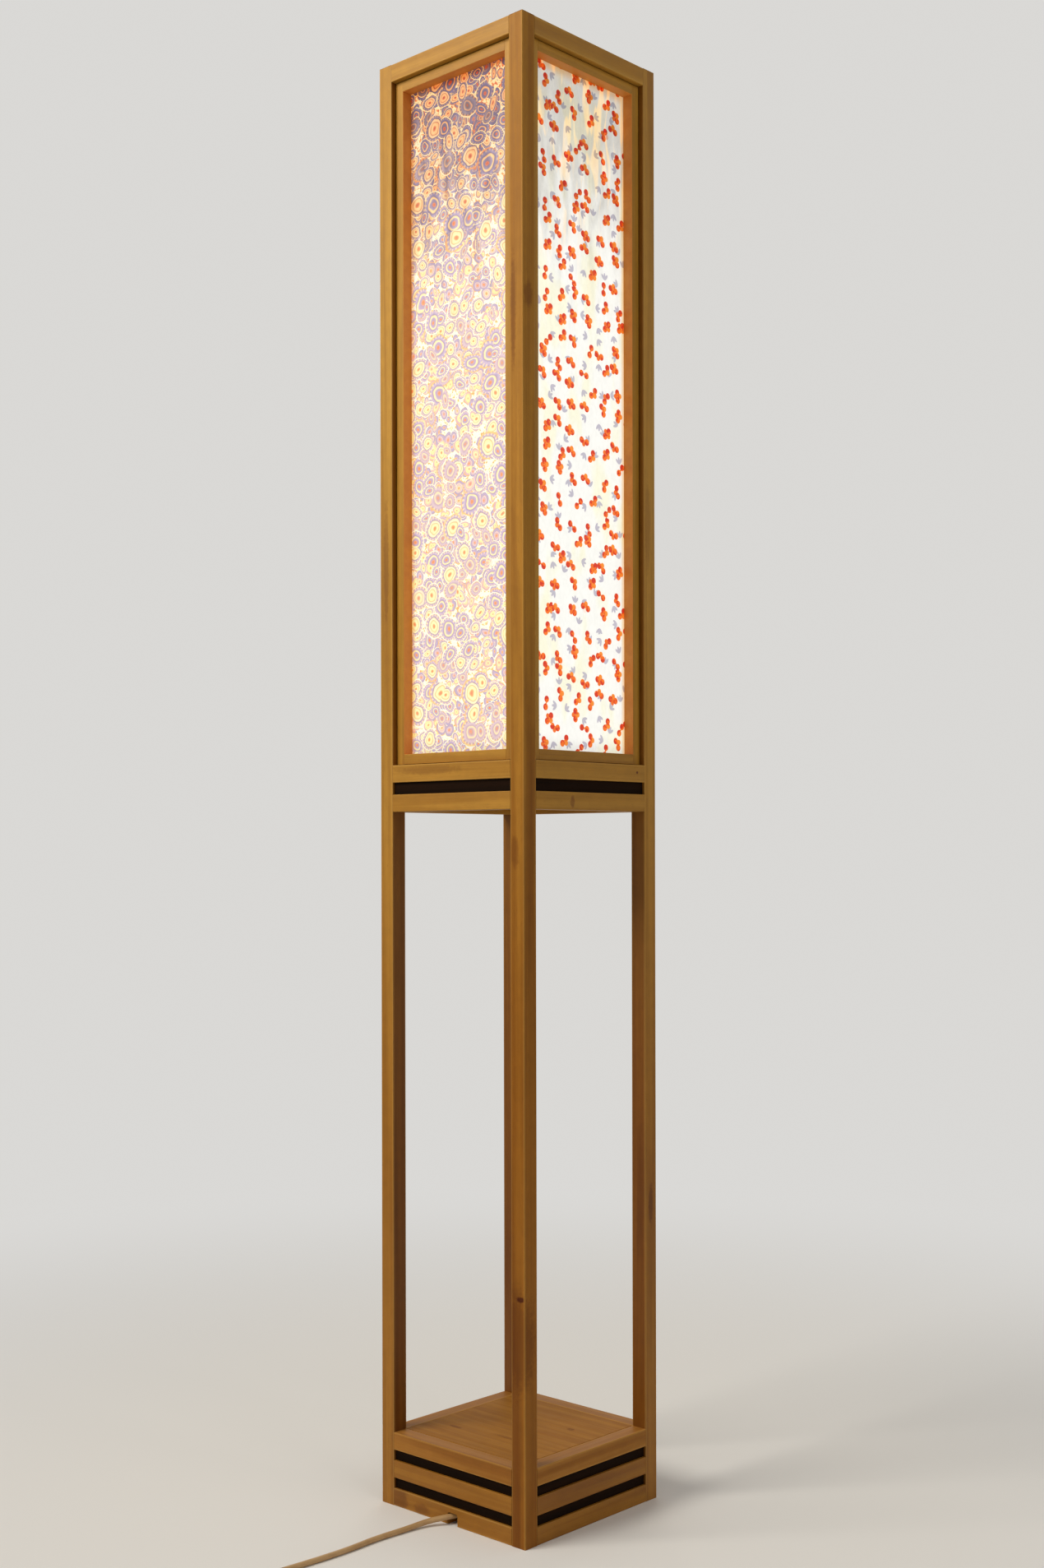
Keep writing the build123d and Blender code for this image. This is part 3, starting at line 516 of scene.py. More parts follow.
@dataclass(frozen=True)
class WoodFinish:
    """A lacquered or stained hardwood."""

    effects: Effects
    pale: Colour = srgb(182, 134, 50)
    deep: Colour = srgb(165, 117, 38)
    streak: Colour = srgb(126, 77, 24)
    streaks: float = 0.5
    fleck: float = 0.2
    coat: float = 0.03
    shine: float = 0.22
    top_level: float = 10.0
    inner_shade: float = 0.0
    dull: float = 0.0
    # How strongly shade is painted in towards the floor.
    painted_low_shade: float = 0.0

    @staticmethod
    def along(finish: Finish, grain: Grain) -> Socket:
        """Turn Object coordinates so that the grain runs along Z.

        Args:
            finish: The material.
            grain: Which way the wood runs.

        Returns:
            The turned coordinates.
        """
        graph, x, y, z = finish.graph, finish.x, finish.y, finish.z
        turned = {
            Grain.ALONG_X: graph.join(y, z, x),
            Grain.ALONG_Y: graph.join(z, x, y),
            Grain.ALONG_Z: finish.place,
        }
        if grain in turned:
            return turned[grain]
        if grain is Grain.RING:
            side = graph.math("GREATER_THAN", graph.away(x), graph.away(y))
            return graph.choose(side, turned[Grain.ALONG_X], turned[Grain.ALONG_Y])
        across, rail = (x, Grain.ALONG_X) if grain is Grain.SCREEN_X else (y, Grain.ALONG_Y)
        stile = graph.math("GREATER_THAN", graph.away(across), STILE_SIDE)
        return graph.choose(stile, turned[rail], finish.place)

    @staticmethod
    def wear_and_highlight_edges(finish: Finish, node: str) -> Socket:
        """Find the long edges of a straight piece, where the lacquer is thin and a highlight is
        painted.

        Args:
            finish: The material.
            node: The piece's node.

        Returns:
            A mask that is 1 on the edges.
        """
        low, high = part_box(node)
        halves = [(b - a) / 2 for a, b in zip(low, high)]
        masks = []
        for way, part in enumerate((finish.x, finish.y, finish.z)):
            if way != halves.index(max(halves)):
                out = finish.graph.away(part, (low[way] + high[way]) / 2)
                masks.append(finish.graph.remap(out, halves[way] - WEAR_AND_HIGHLIGHT_START,
                                                halves[way] - WEAR_AND_HIGHLIGHT_FULL))
        return finish.graph.times(*masks)

    @staticmethod
    def painted_glow_faces(finish: Finish, grain: Grain) -> Socket:
        """Find the narrow faces round a screen frame's opening, where warm lamp light is painted
        into the wood.

        Args:
            finish: The material.
            grain: Which way the screen faces.

        Returns:
            A mask that is 1 on those faces.
        """
        graph = finish.graph
        across = graph.away(finish.x if grain is Grain.SCREEN_X else finish.y)
        up = graph.away(finish.z, (OPENING_LOW + OPENING_HIGH) / 2)
        half = (OPENING_HIGH - OPENING_LOW) / 2 + 0.0002
        return graph.times(graph.inside(across, OPENING_SIDE, 0.0001),
                           graph.inside(up, half, 0.0001))

    def build(self, name: str, grain: Grain, seed: float, node: str = "",
              stains: Sequence[Stain] = ()) -> bpy.types.Material:
        """Make the material for one node.

        Args:
            name: The material's name.
            grain: Which way the wood runs.
            seed: Moves the pattern, so that no two pieces are the same.
            node: A straight piece's node, whose long edges are lightened by wear and a painted
                highlight, and roughened.
            stains: Marks in this piece.

        Returns:
            The material.
        """
        finish = Finish(name, {"Coat Weight": self.coat, "Coat Roughness": 0.28,
                               "Specular IOR Level": self.shine})
        graph = finish.graph
        grained = self.effects.wood.place(
            graph, along=self.along(finish, grain), seed=seed, pale=self.pale, deep=self.deep,
            streak=self.streak, streaks=self.streaks, fleck=self.fleck,
            end_grain=graph.math("GREATER_THAN", finish.z, self.top_level))
        colour = grained["Color"]
        for stain in stains:
            mark = self.effects.stains.place(graph, place=finish.place, middle=stain.middle,
                                             reach=stain.reach)
            colour = graph.tint(graph.times(mark["Mask"], stain.strength), colour,
                                srgb(150, 104, 84))
        # Painted shade: the posts' inner faces, towards the lamp's middle, are darkened.
        if self.inner_shade:
            near = graph.math("MINIMUM", graph.away(finish.x), graph.away(finish.y))
            inner = graph.times(graph.inside(near, POST_INNER, 0.0003), self.inner_shade)
            colour = graph.tint(inner, colour, srgb(176, 150, 120))
        # Painted shade: below 0.95 m the wood is darkened and reddened, most at 0.30 m and
        # under.
        low = graph.remap(finish.z, 0.30, 0.95, self.painted_low_shade, 0.0)
        colour = graph.tint(low, colour, srgb(226, 208, 186))
        # Painted light: warm lamp glow on the faces round the screen's opening.
        if grain in (Grain.SCREEN_X, Grain.SCREEN_Y):
            colour = graph.mix(graph.times(self.painted_glow_faces(finish, grain), 0.50), colour,
                               srgb(242, 152, 74))
        rough = graph.math("ADD", grained["Roughness"], self.dull)
        if node:
            # Wear and painted highlight: the long edges are lighter and rougher.
            edge = self.wear_and_highlight_edges(finish, node)
            colour = graph.mix(graph.times(edge, 0.20), colour, srgb(218, 172, 92))
            rough = graph.math("MULTIPLY_ADD", edge, 0.08, rough)
        finish.feed("Base Color", colour)
        finish.feed("Roughness", rough)
        finish.bump(grained["Height"], 0.22, 0.00025)
        return finish.material


@dataclass(frozen=True)
class PrintedSheet:
    """Plastic-faced paper, printed, with the lamp's light behind it."""

    effects: Effects
    design: Print
    across: str
    shift: Point
    unlit: float = 0.16
    lit: float = 0.90

    def rings(self, graph: Graph, sheet: Socket) -> Socket:
        """Lay out the dense concentric discs on cream.

        Args:
            graph: The material's graph.
            sheet: Flat coordinates on the sheet, in metres.

        Returns:
            The print's colour.
        """
        colour = graph.ramp(graph.noise(sheet, 260.0, 2.0, 0.6), (
            (0.35, 222, 106, 46), (0.42, 250, 176, 92), (0.47, 255, 241, 204),
            (0.62, 255, 239, 200), (0.70, 176, 144, 166)))
        names = ("cells", "smallest", "largest", "share", "beads", "plain")
        layers = ((98.0, 0.0034, 0.0056, 0.86, 0.0, 1.0), (74.0, 0.0048, 0.0078, 0.84, 0.0, 0.6),
                  (55.0, 0.0066, 0.0108, 0.76, 0.4, 0.0), (41.0, 0.0088, 0.0144, 0.60, 0.6, 0.0))
        for index, layer in enumerate(layers):
            moved = graph.vector("ADD", sheet, (0.31 * index, 0.17 * index, 0.0))
            discs = self.effects.rings.place(graph, sheet=moved, **dict(zip(names, layer)))
            colour = graph.mix(discs["Mask"], colour, discs["Color"])
        return colour

    def berries(self, graph: Graph, sheet: Socket) -> Socket:
        """Lay out the berries and sprigs on white.

        Args:
            graph: The material's graph.
            sheet: Flat coordinates on the sheet, in metres.

        Returns:
            The print's colour.
        """
        cloud = graph.noise(graph.vector("MULTIPLY", sheet, (30.0, 11.0, 1.0)))
        colour = graph.mix(graph.remap(cloud, 0.48, 0.64), srgb(253, 249, 243),
                           srgb(255, 247, 222))
        sprigs = self.effects.sprigs.place(graph, sheet=sheet, cells=42.0)
        colour = graph.mix(graph.times(sprigs["Mask"], 0.85), colour, srgb(176, 172, 190))
        moved = graph.vector("ADD", sheet, (0.4, 0.9, 0.0))
        berries = self.effects.berries.place(graph, sheet=moved, cells=44.0)
        return graph.mix(berries["Mask"], colour, berries["Color"])

    def build(self, name: str) -> bpy.types.Material:
        """Make the sheet's material.

        Args:
            name: The material's name.

        Returns:
            The material.
        """
        finish = Finish(name, {"Roughness": 0.62, "Emission Strength": 1.0})
        graph = finish.graph
        across = finish.x if self.across == "x" else finish.y
        sheet = graph.vector("ADD", graph.join(across, finish.z), self.shift)
        glow = self.effects.glow.place(graph, across=across, height=finish.z)
        if self.design is Print.RINGS:
            colour = self.rings(graph, sheet)
            dusky = graph.mix(0.10, graph.tint(0.76, colour, colour), srgb(206, 160, 130))
            dusky = graph.tint(1.0, dusky, srgb(252, 240, 220))
            gain, bleach = (2.45, 1.98, 1.58, 1.0), 0.24
        else:
            colour = self.berries(graph, sheet)
            streak = graph.noise(graph.vector("MULTIPLY", sheet, (90.0, 19.0, 1.0)), 1.0, 1.0,
                                 0.5, 0.9)
            dusky = graph.tint(1.0, colour, graph.mix(graph.remap(streak, 0.52, 0.66),
                                                      srgb(203, 204, 201), srgb(255, 228, 186)))
            gain, bleach = (1.06, 1.06, 1.06, 1.0), 0.03
        fibres = graph.noise(graph.vector("MULTIPLY", sheet, (260.0, 120.0, 1.0)), 1.0, 3.0,
                             0.6, 1.2)
        cloudy = graph.remap(fibres, 0.3, 0.7, 0.96, 1.03)
        finish.feed("Base Color", graph.dim(graph.dim(colour, cloudy), self.unlit))
        bright = graph.mix(1.0, colour, gain, "MULTIPLY", held=True)
        bright = graph.mix(bleach, bright, srgb(255, 244, 210))
        shown = graph.dim(graph.mix(glow["Dusk"], bright, dusky), cloudy)
        shown = graph.tint(graph.times(glow["Rim"], 0.7), shown, srgb(255, 196, 118))
        finish.feed("Emission Color", graph.dim(shown, graph.times(glow["Share"], self.lit)))
        finish.bump(fibres, 0.1, 0.0002)
        return finish.material


@dataclass(frozen=True)
class PlainFinish:
    """A moulded, painted or plated surface with a fine texture of its own."""

    name: str
    tone: Colour
    worn: Colour
    rough: float
    metal: float = 0.0
    coat: float = 0.0
    fine: float = 900.0
    stretch: Point = (1.0, 1.0, 1.0)
    seam: float = 0.0

    def build(self) -> bpy.types.Material:
        """Make the material.

        Returns:
            The material.
        """
        finish = Finish(self.name, {"Metallic": self.metal, "Coat Weight": self.coat,
                                    "Coat Roughness": 0.2})
        graph = finish.graph
        place = graph.vector("MULTIPLY", finish.place, self.stretch)
        cloud = graph.noise(place, self.fine / 22.0, 3.0)
        colour = graph.mix(graph.remap(cloud, 0.35, 0.70), self.tone, self.worn)
        if self.seam:
            line = graph.inside(graph.away(finish.z, self.seam), 0.00016, 0.00008)
            colour = graph.tint(graph.times(line, 0.7), colour, srgb(130, 112, 92))
        finish.feed("Base Color", colour)
        finish.feed("Roughness", graph.math("MULTIPLY_ADD", cloud, 0.16, self.rough - 0.08))
        finish.bump(graph.noise(place, self.fine), 0.25, 0.00006)
        return finish.material


class TubeGlass:
    """Opal glass, lit, with the grey bands that a tube gets beside its caps."""

    @staticmethod
    def build(low: float, high: float) -> bpy.types.Material:
        """Make the material.

        Args:
            low: The height of the glass's lower end.
            high: The height of its upper end.

        Returns:
            The material.
        """
        finish = Finish("lit opal glass", {"Roughness": 0.12, "Emission Strength": 2.2})
        graph = finish.graph
        ends = graph.math("MINIMUM", graph.math("SUBTRACT", finish.z, low),
                          graph.math("SUBTRACT", high, finish.z))
        streak = graph.noise(graph.vector("MULTIPLY", finish.place, (60.0, 60.0, 400.0)), 1.0,
                             1.0)
        ends = graph.math("MULTIPLY_ADD", streak, 0.006, ends)
        finish.feed("Base Color", graph.mix(graph.remap(ends, 0.018, 0.036),
                                            srgb(150, 146, 140), srgb(248, 246, 238)))
        finish.feed("Emission Color", graph.mix(graph.remap(ends, 0.014, 0.050),
                                                srgb(96, 74, 52), srgb(255, 244, 224)))
        return finish.material


class Bench:
    """Edit-mode work on one piece at a time."""

    sides = 32
    smooth_under = math.radians(35.0)

    @staticmethod
    def clear() -> None:
        """Leave edit mode and let go of everything."""
        if bpy.context.object is not None and bpy.context.object.mode != "OBJECT":
            bpy.ops.object.mode_set(mode="OBJECT")
        bpy.ops.object.select_all(action="DESELECT")

    @staticmethod
    def settle(name: str, finish: bpy.types.Material, slot: str) -> bpy.types.Object:
        """Finish the active piece: outward faces, soft shading, its place in its mesh.

        Args:
            name: The piece's name.
            finish: Its material.
            slot: Not used.

        Returns:
            The piece.
        """
        piece = bpy.context.object
        bpy.ops.object.mode_set(mode="EDIT")
        bpy.ops.mesh.select_all(action="SELECT")
        bpy.ops.mesh.remove_doubles(threshold=0.000002)
        bpy.ops.mesh.normals_make_consistent(inside=False)
        bpy.ops.object.mode_set(mode="OBJECT")
        bpy.ops.object.select_all(action="DESELECT")
        piece.select_set(True)
        bpy.ops.object.transform_apply(location=True, rotation=True, scale=True)
        bpy.ops.object.shade_smooth_by_angle(angle=Bench.smooth_under)
        piece.name = name
        piece.data.materials.clear()
        piece.data.materials.append(finish)
        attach(piece, FRAME_BODY)
        return piece

    @staticmethod
    def drawn(rings: Sequence[tuple[Vector, float]], turn: Point) -> None:
        """Draw a round shape out from a disc, ring by ring.

        Args:
            rings: Middle and radius of each ring, in order.
            turn: The rings' rotation.
        """
        Bench.clear()
        start, radius = rings[0]
        bpy.ops.mesh.primitive_circle_add(vertices=Bench.sides, radius=radius,
                                          fill_type="NGON", location=start, rotation=turn)
        bpy.ops.object.mode_set(mode="EDIT")
        bpy.ops.mesh.select_mode(type="FACE")
        for middle, wide in rings[1:]:
            bpy.ops.mesh.extrude_region_move(TRANSFORM_OT_translate={"value": middle - start})
            bpy.ops.transform.resize(value=(wide / radius,) * 3, center_override=middle)
            start, radius = middle, wide
        bpy.ops.object.mode_set(mode="OBJECT")

    @staticmethod
    def bars(places: Sequence[Point], size: Point, edge: float) -> None:
        """Make a row of rounded bars as one piece.

        Args:
            places: The middle of each bar.
            size: The bars' full size.
            edge: The width of their rounded edges.
        """
        made = []
        for place in places:
            Bench.clear()
            bpy.ops.mesh.primitive_cube_add(size=1.0, location=place, scale=size)
            bpy.ops.object.transform_apply(location=False, rotation=False, scale=True)
            bpy.ops.object.mode_set(mode="EDIT")
            bpy.ops.mesh.select_all(action="SELECT")
            bpy.ops.mesh.bevel(offset=edge, segments=3, affect="EDGES")
            bpy.ops.object.mode_set(mode="OBJECT")
            made.append(bpy.context.object)
        for piece in made:
            piece.select_set(True)
        bpy.context.view_layer.objects.active = made[0]
        bpy.ops.object.join()


@dataclass
class FramePieces:
    """The wooden frame: posts, rails, slips, boards and screen frames."""

    effects: Effects
    stains: dict[str, tuple[Stain, ...]] = field(default_factory=lambda: {
        "post_front_right": (
            Stain((0.0965, -0.102, 0.243), (0.0056, 0.006, 0.003), 0.95),
            Stain((0.093, -0.102, 0.2), (0.02, 0.02, 0.056), 0.45),
            Stain((0.089, -0.102, 1.21), (0.004, 0.006, 0.06), 0.45),
            Stain((0.102, -0.094, 1.225), (0.005, 0.007, 0.014), 0.45),
            Stain((0.09, -0.102, 0.68), (0.006, 0.006, 0.018), 0.40),
        ),
        "post_back_right": (
            Stain((0.102, 0.093, 0.31), (0.006, 0.004, 0.024), 0.6),
            Stain((0.102, 0.09, 1.02), (0.006, 0.005, 0.05), 0.3),
        ),
        "post_front_left": (Stain((-0.093, -0.102, 0.98), (0.004, 0.006, 0.07), 0.35),),
        "lantern_rail_right": (Stain((0.102, 0.072, 0.7625), (0.004, 0.0022, 0.0016), 1.0),),
        "lantern_rail_front": (Stain((-0.03, -0.102, 0.764), (0.05, 0.008, 0.005), 0.3),),
        "lantern_lower_rails": (Stain((0.102, -0.03, 0.73), (0.006, 0.0035, 0.007), 0.5),),
        "base_bottom_rail_front": (
            Stain((-0.078, -0.102, 0.01), (0.016, 0.03, 0.02), 0.50),
            Stain((-0.043, -0.102, 0.005), (0.012, 0.03, 0.007), 0.40),
        ),
        "shelf_board": (
            Stain((0.02, -0.035, 0.076), (0.026, 0.003, 0.02), 0.35),
            Stain((-0.05, -0.045, 0.076), (0.009, 0.003, 0.02), 0.45),
            Stain((0.045, 0.03, 0.076), (0.005, 0.004, 0.02), 0.45),
        ),
    })

    def dress(self) -> None:
        """Give every wooden node its finish."""
        honey = WoodFinish(self.effects, painted_low_shade=1.0)
        flat = WoodFinish(self.effects, srgb(187, 136, 66), srgb(170, 120, 53),
                          srgb(132, 82, 32), coat=0.0, shine=0.12, dull=0.10, painted_low_shade=0.8)
        post = WoodFinish(self.effects, top_level=POST_TOP, streaks=0.62, inner_shade=0.8,
                          painted_low_shade=1.0)
        front = WoodFinish(self.effects, srgb(170, 119, 42), srgb(151, 100, 31),
                           srgb(114, 66, 21), 0.62, coat=0.0, shine=0.12, top_level=POST_TOP,
                           inner_shade=0.8, painted_low_shade=1.15)
        dark = WoodFinish(self.effects, srgb(32, 17, 7), srgb(22, 12, 5), srgb(12, 7, 4),
                          fleck=0.3, coat=0.0, shine=0.04, dull=0.25)
        ply = WoodFinish(self.effects, srgb(214, 184, 140), srgb(198, 164, 118),
                         srgb(170, 130, 86), 0.3, coat=0.0)
        shelf = WoodFinish(self.effects, srgb(164, 112, 44), srgb(150, 98, 35),
                           srgb(126, 76, 26), 0.45, coat=0.0, shine=0.06, dull=0.15)
        plans = {
            "post_front_left": (post, Grain.ALONG_Z, 1.3),
            "post_front_right": (front, Grain.ALONG_Z, 2.9),
            "post_back_left": (post, Grain.ALONG_Z, 4.1),
            "post_back_right": (post, Grain.ALONG_Z, 5.7),
            "groove_cover": (post, Grain.ALONG_Z, 5.9),
            "shelf_board": (shelf, Grain.ALONG_X, 3.3),
            "lantern_floor": (ply, Grain.ALONG_X, 8.1),
            "corner_beads": (honey, Grain.ALONG_Z, 9.2),
            "lantern_lower_rails": (honey, Grain.RING, 6.4),
            "base_middle_rails": (honey, Grain.RING, 7.7),
            "base_bottom_rails": (honey, Grain.RING, 2.2),
            "base_bottom_rail_front": (honey, Grain.ALONG_X, 4.8),
            "base_lower_slips": (dark, Grain.RING, 1.1),
            "base_upper_slips": (dark, Grain.RING, 2.3),
            "lantern_slips": (dark, Grain.RING, 3.7),
        }
        for index, side in enumerate(("front", "right", "back", "left")):
            faces_y = side in ("front", "back")
            rail = Grain.ALONG_X if faces_y else Grain.ALONG_Y
            for offset, kind in enumerate(("top_rail", "lantern_rail", "shelf_rail")):
                wood = flat if kind == "shelf_rail" else honey
                plans[f"{kind}_{side}"] = (wood, rail, 11.0 + 3.1 * index + 1.7 * offset)
            stile = Grain.SCREEN_X if faces_y else Grain.SCREEN_Y
            plans[f"screen_frame_{side}"] = (honey, stile, 31.0 + 2.3 * index)
        straight = ("post_", "top_rail_", "lantern_rail_", "shelf_rail_", "base_bottom_rail_")
        for node, (wood, grain, seed) in plans.items():
            edged = node if node.startswith(straight) else ""
            dress(wood.build(node.replace("_", " "), grain, seed, edged,
                             self.stains.get(node, ())), node)


@dataclass
class Screens:
    """The four printed sheets."""

    effects: Effects

    def dress(self) -> None:
        """Give every sheet its print."""
        for side, design, across, shift in (
                ("front", Print.RINGS, "x", (0.0, 0.0, 0.0)),
                ("right", Print.BERRIES, "y", (0.0, 0.0, 0.0)),
                ("back", Print.RINGS, "x", (3.1, 1.7, 0.0)),
                ("left", Print.BERRIES, "y", (2.3, 4.9, 0.0))):
            sheet = PrintedSheet(self.effects, design, across, shift)
            dress(sheet.build(f"screen {side}"), f"screen_{side}")


class LightFitting:
    """Tube, holders, spine, ballast, foot and fasteners."""

    @staticmethod
    def dress() -> None:
        """Give the fitting's nodes their finishes."""
        low, high = (corner[2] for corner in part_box("lamp_tube"))
        dress(TubeGlass.build(low, high), "lamp_tube")
        for finish, nodes in (
                (PlainFinish("white enamel", srgb(236, 235, 230), srgb(224, 222, 214), 0.34,
                             coat=0.3, fine=700.0), ("spine_channel", "spine_cover")),
                (PlainFinish("white plastic", srgb(234, 233, 226), srgb(226, 223, 212), 0.36),
                 ("lampholders", "holder_rotors", "cord_clamp", "lead_clip")),
                (PlainFinish("zinc plate", srgb(196, 196, 194), srgb(168, 168, 166), 0.38, 1.0,
                             fine=500.0),
                 ("ballast", "spine_foot", "spine_screws", "clamp_screws")),
                (PlainFinish("drawn aluminium", srgb(214, 214, 216), srgb(196, 196, 198), 0.30,
                             1.0, stretch=(1.0, 1.0, 0.1)), ("tube_caps",)),
                (PlainFinish("nickel plate", srgb(206, 204, 200), srgb(190, 188, 182), 0.22,
                             1.0), ("screen_magnets", "bead_magnets")),
                (PlainFinish("black rubber", srgb(34, 34, 34), srgb(46, 45, 44), 0.6),
                 ("lead_grommet",))):
            dress(finish.build(), *nodes)


@dataclass
class CordSet:
    """The free cord with its switch and plug, and the lead inside the lamp."""

    diameter: float = 0.0056
    exit: Point = (0.005, -0.084, 0.0085)
    to_coil: tuple[Point, ...] = (
        (-0.00225, -0.104, 0.0085), (-0.016, -0.121, 0.0048), (-0.0195, -0.147, 0.00285),
        (-0.023, -0.184, 0.00285), (-0.0213, -0.222, 0.00285), (-0.0232, -0.258, 0.00285),
        (-0.0275, -0.298, 0.00285), (-0.029, -0.328, 0.0034), (-0.027, -0.350, 0.007),
        (-0.027, -0.366, 0.007), (-0.027, -0.428, 0.007), (-0.027, -0.441, 0.007),
        (-0.0276, -0.457, 0.0036))
    to_plug: tuple[Point, ...] = (
        (0.054, -0.4655, 0.0082), (0.054, -0.455, 0.007), (0.054, -0.440, 0.007))
    coil_middle: tuple[float, float] = (0.0135, -0.478)
    outer_turn: float = 0.0405
    inner_turn: float = 0.0237
    low_layer: float = 0.00285
    high_layer: float = 0.00845
    turns: int = 3
    steps: int = 16
    sleeve_tip: float = 0.0034
    sleeve_ribs: int = 5
    groove: float = 0.0006
    plug_back: float = -0.438
    grips: int = 4
    grip_start: Point = (0.054, -0.4245, 0.01395)
    grip_pitch: float = 0.0026
    grip_size: Point = (0.0150, 0.0013, 0.0011)
    grip_edge: float = 0.00035

    def coil(self) -> list[Point]:
        """Lay the coil's turns: inwards below, up at the middle, and outwards above.

        Returns:
            The coil's points.
        """
        spread = 1.0 / math.cos(math.pi / self.steps)
        pitch = (self.outer_turn - self.inner_turn) / self.turns
        points = []

        def add(turn: float, radius: float, height: float) -> None:
            """Add a point, with its turn counted from the coil's left side."""
            angle = math.pi + math.tau * turn
            points.append((self.coil_middle[0] + radius * spread * math.cos(angle),
                           self.coil_middle[1] + radius * spread * math.sin(angle), height))

        layer = [step / self.steps for step in range(self.turns * self.steps + 1)]
        for turn in layer:
            add(turn, self.outer_turn - pitch * turn, self.low_layer)
        half = self.steps // 2
        for share in (step / half for step in range(1, half)):
            rise = self.low_layer + (self.high_layer - self.low_layer) * min(1.0, 1.35 * share)
            add(self.turns + share / 2, self.inner_turn, rise)
        for turn in layer:
            add(self.turns + 0.5 + turn, self.inner_turn + pitch * turn, self.high_layer)
        return points

    @staticmethod
    def route(cord: bpy.types.Object) -> list[Vector]:
        """Read the cord's middle line from its spline.

        Args:
            cord: The cord's curve object.

        Returns:
            The points of the line, from the lamp to the plug.
        """
        line = bpy.data.objects.new("cord_line", cord.data.copy())
        line.data.bevel_depth = 0.0
        mesh = bpy.data.meshes.new_from_object(line)
        points = [vertex.co.copy() for vertex in mesh.vertices]
        bpy.data.meshes.remove(mesh)
        curve = line.data
        bpy.data.objects.remove(line)
        bpy.data.curves.remove(curve)
        return points

    @staticmethod
    def crossing(points: Sequence[Vector], level: float) -> Vector:
        """Find where a line first passes a level of Y.

        Args:
            points: The line's points.
            level: The level.

        Returns:
            The point on the line.
        """
        for first, second in zip(points, points[1:]):
            low, high = sorted((first.y, second.y))
            if low <= level <= high and high > low:
                return first.lerp(second, (level - first.y) / (second.y - first.y))
        raise ValueError(f"the cord never passes y {level}")

    def sleeve(self, points: Sequence[Vector], name: str, start: float, end: float,
               wide: float, finish: bpy.types.Material) -> bpy.types.Object:
        """Make the tapered, ribbed sleeve where the cord leaves a housing.

        Args:
            points: The cord's middle line, from the end that passes the housing first.
            name: The sleeve's name.
            start: Its Y at the housing.
            end: Its Y at the free end.
            wide: Its radius at the housing.
            finish: Its material.

        Returns:
            The sleeve.
        """
        rings = []
        for rib in range(self.sleeve_ribs):
            for along, depth in ((0.0, 0.0), (0.52, 0.0), (0.64, 1.0), (0.88, 1.0)):
                share = (rib + along) / self.sleeve_ribs
                radius = wide + (self.sleeve_tip - wide) * share - self.groove * depth
                rings.append((self.crossing(points, start + (end - start) * share), radius))
        rings.append((self.crossing(points, end), self.sleeve_tip - self.groove / 2))
        Bench.drawn(rings, (math.pi / 2, 0.0, 0.0))
        return Bench.settle(name, finish, "beige_plastic")

    def lay(self) -> bpy.types.Object:
        """Lay the free cord as one curve.

        Returns:
            The cord.
        """
        curve = bpy.data.curves.new("cord_flex", "CURVE")
        curve.dimensions = "3D"
        curve.bevel_depth = self.diameter / 2
        curve.bevel_resolution = 5
        curve.resolution_u = 6
        curve.use_fill_caps = True
        points = [self.exit, *self.to_coil, *self.coil(), *self.to_plug]
        spline = curve.splines.new("NURBS")
        spline.points.add(len(points) - 1)
        for point, place in zip(spline.points, points):
            point.co = (*place, 1.0)
        spline.order_u = 3
        spline.use_endpoint_u = True
        cord = bpy.data.objects.new("cord_flex", curve)
        bpy.context.scene.collection.objects.link(cord)
        return cord

    def build(self) -> None:
        """Lay the cord, dress what is on it and add its sleeves and grips."""
        cord = self.lay()
        sheath = PlainFinish("beige vinyl", srgb(190, 154, 106), srgb(178, 140, 92), 0.42,
                             fine=1500.0).build()
        cord.data.materials.append(sheath)
        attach(cord, FRAME_BODY)
        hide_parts("cord_near", "cord_mid", "cord_end", "cord_coil")
        dress(sheath, "internal_lead")
        shell, halves = (
            PlainFinish(name, srgb(214, 192, 156), srgb(206, 182, 144), 0.36, fine=1200.0,
                        seam=seam).build()
            for name, seam in (("beige plastic", 0.0), ("switch halves", 0.008)))
        rocker = PlainFinish("rocker plastic", srgb(230, 214, 184), srgb(224, 206, 172), 0.3,
                             fine=1200.0).build()
        brass = PlainFinish("plated pins", srgb(212, 196, 160), srgb(196, 178, 138), 0.25,
                            1.0).build()
        dress(halves, "switch_base", "switch_cover")
        dress(shell, "plug_body")
        dress(rocker, "switch_rocker")
        dress(brass, "plug_pins")
        line = self.route(cord)
        plug_x, _, plug_z = self.to_plug[-1]
        from_plug = [Vector((plug_x, self.plug_back, plug_z)), *line[::-1]]
        sleeves = [
            self.sleeve(line, "switch_sleeve_near", -0.3662, -0.3460, 0.0048, shell),
            self.sleeve(line, "switch_sleeve_far", -0.4278, -0.4480, 0.0048, shell),
            self.sleeve(from_plug, "plug_sleeve", -0.4395, -0.4600, 0.0044, shell),
        ]
        x, y, z = self.grip_start
        Bench.bars([(x, y + self.grip_pitch * step, z) for step in range(self.grips)],
                   self.grip_size, self.grip_edge)
        grips = Bench.settle("plug_grips", shell, "beige_plastic")


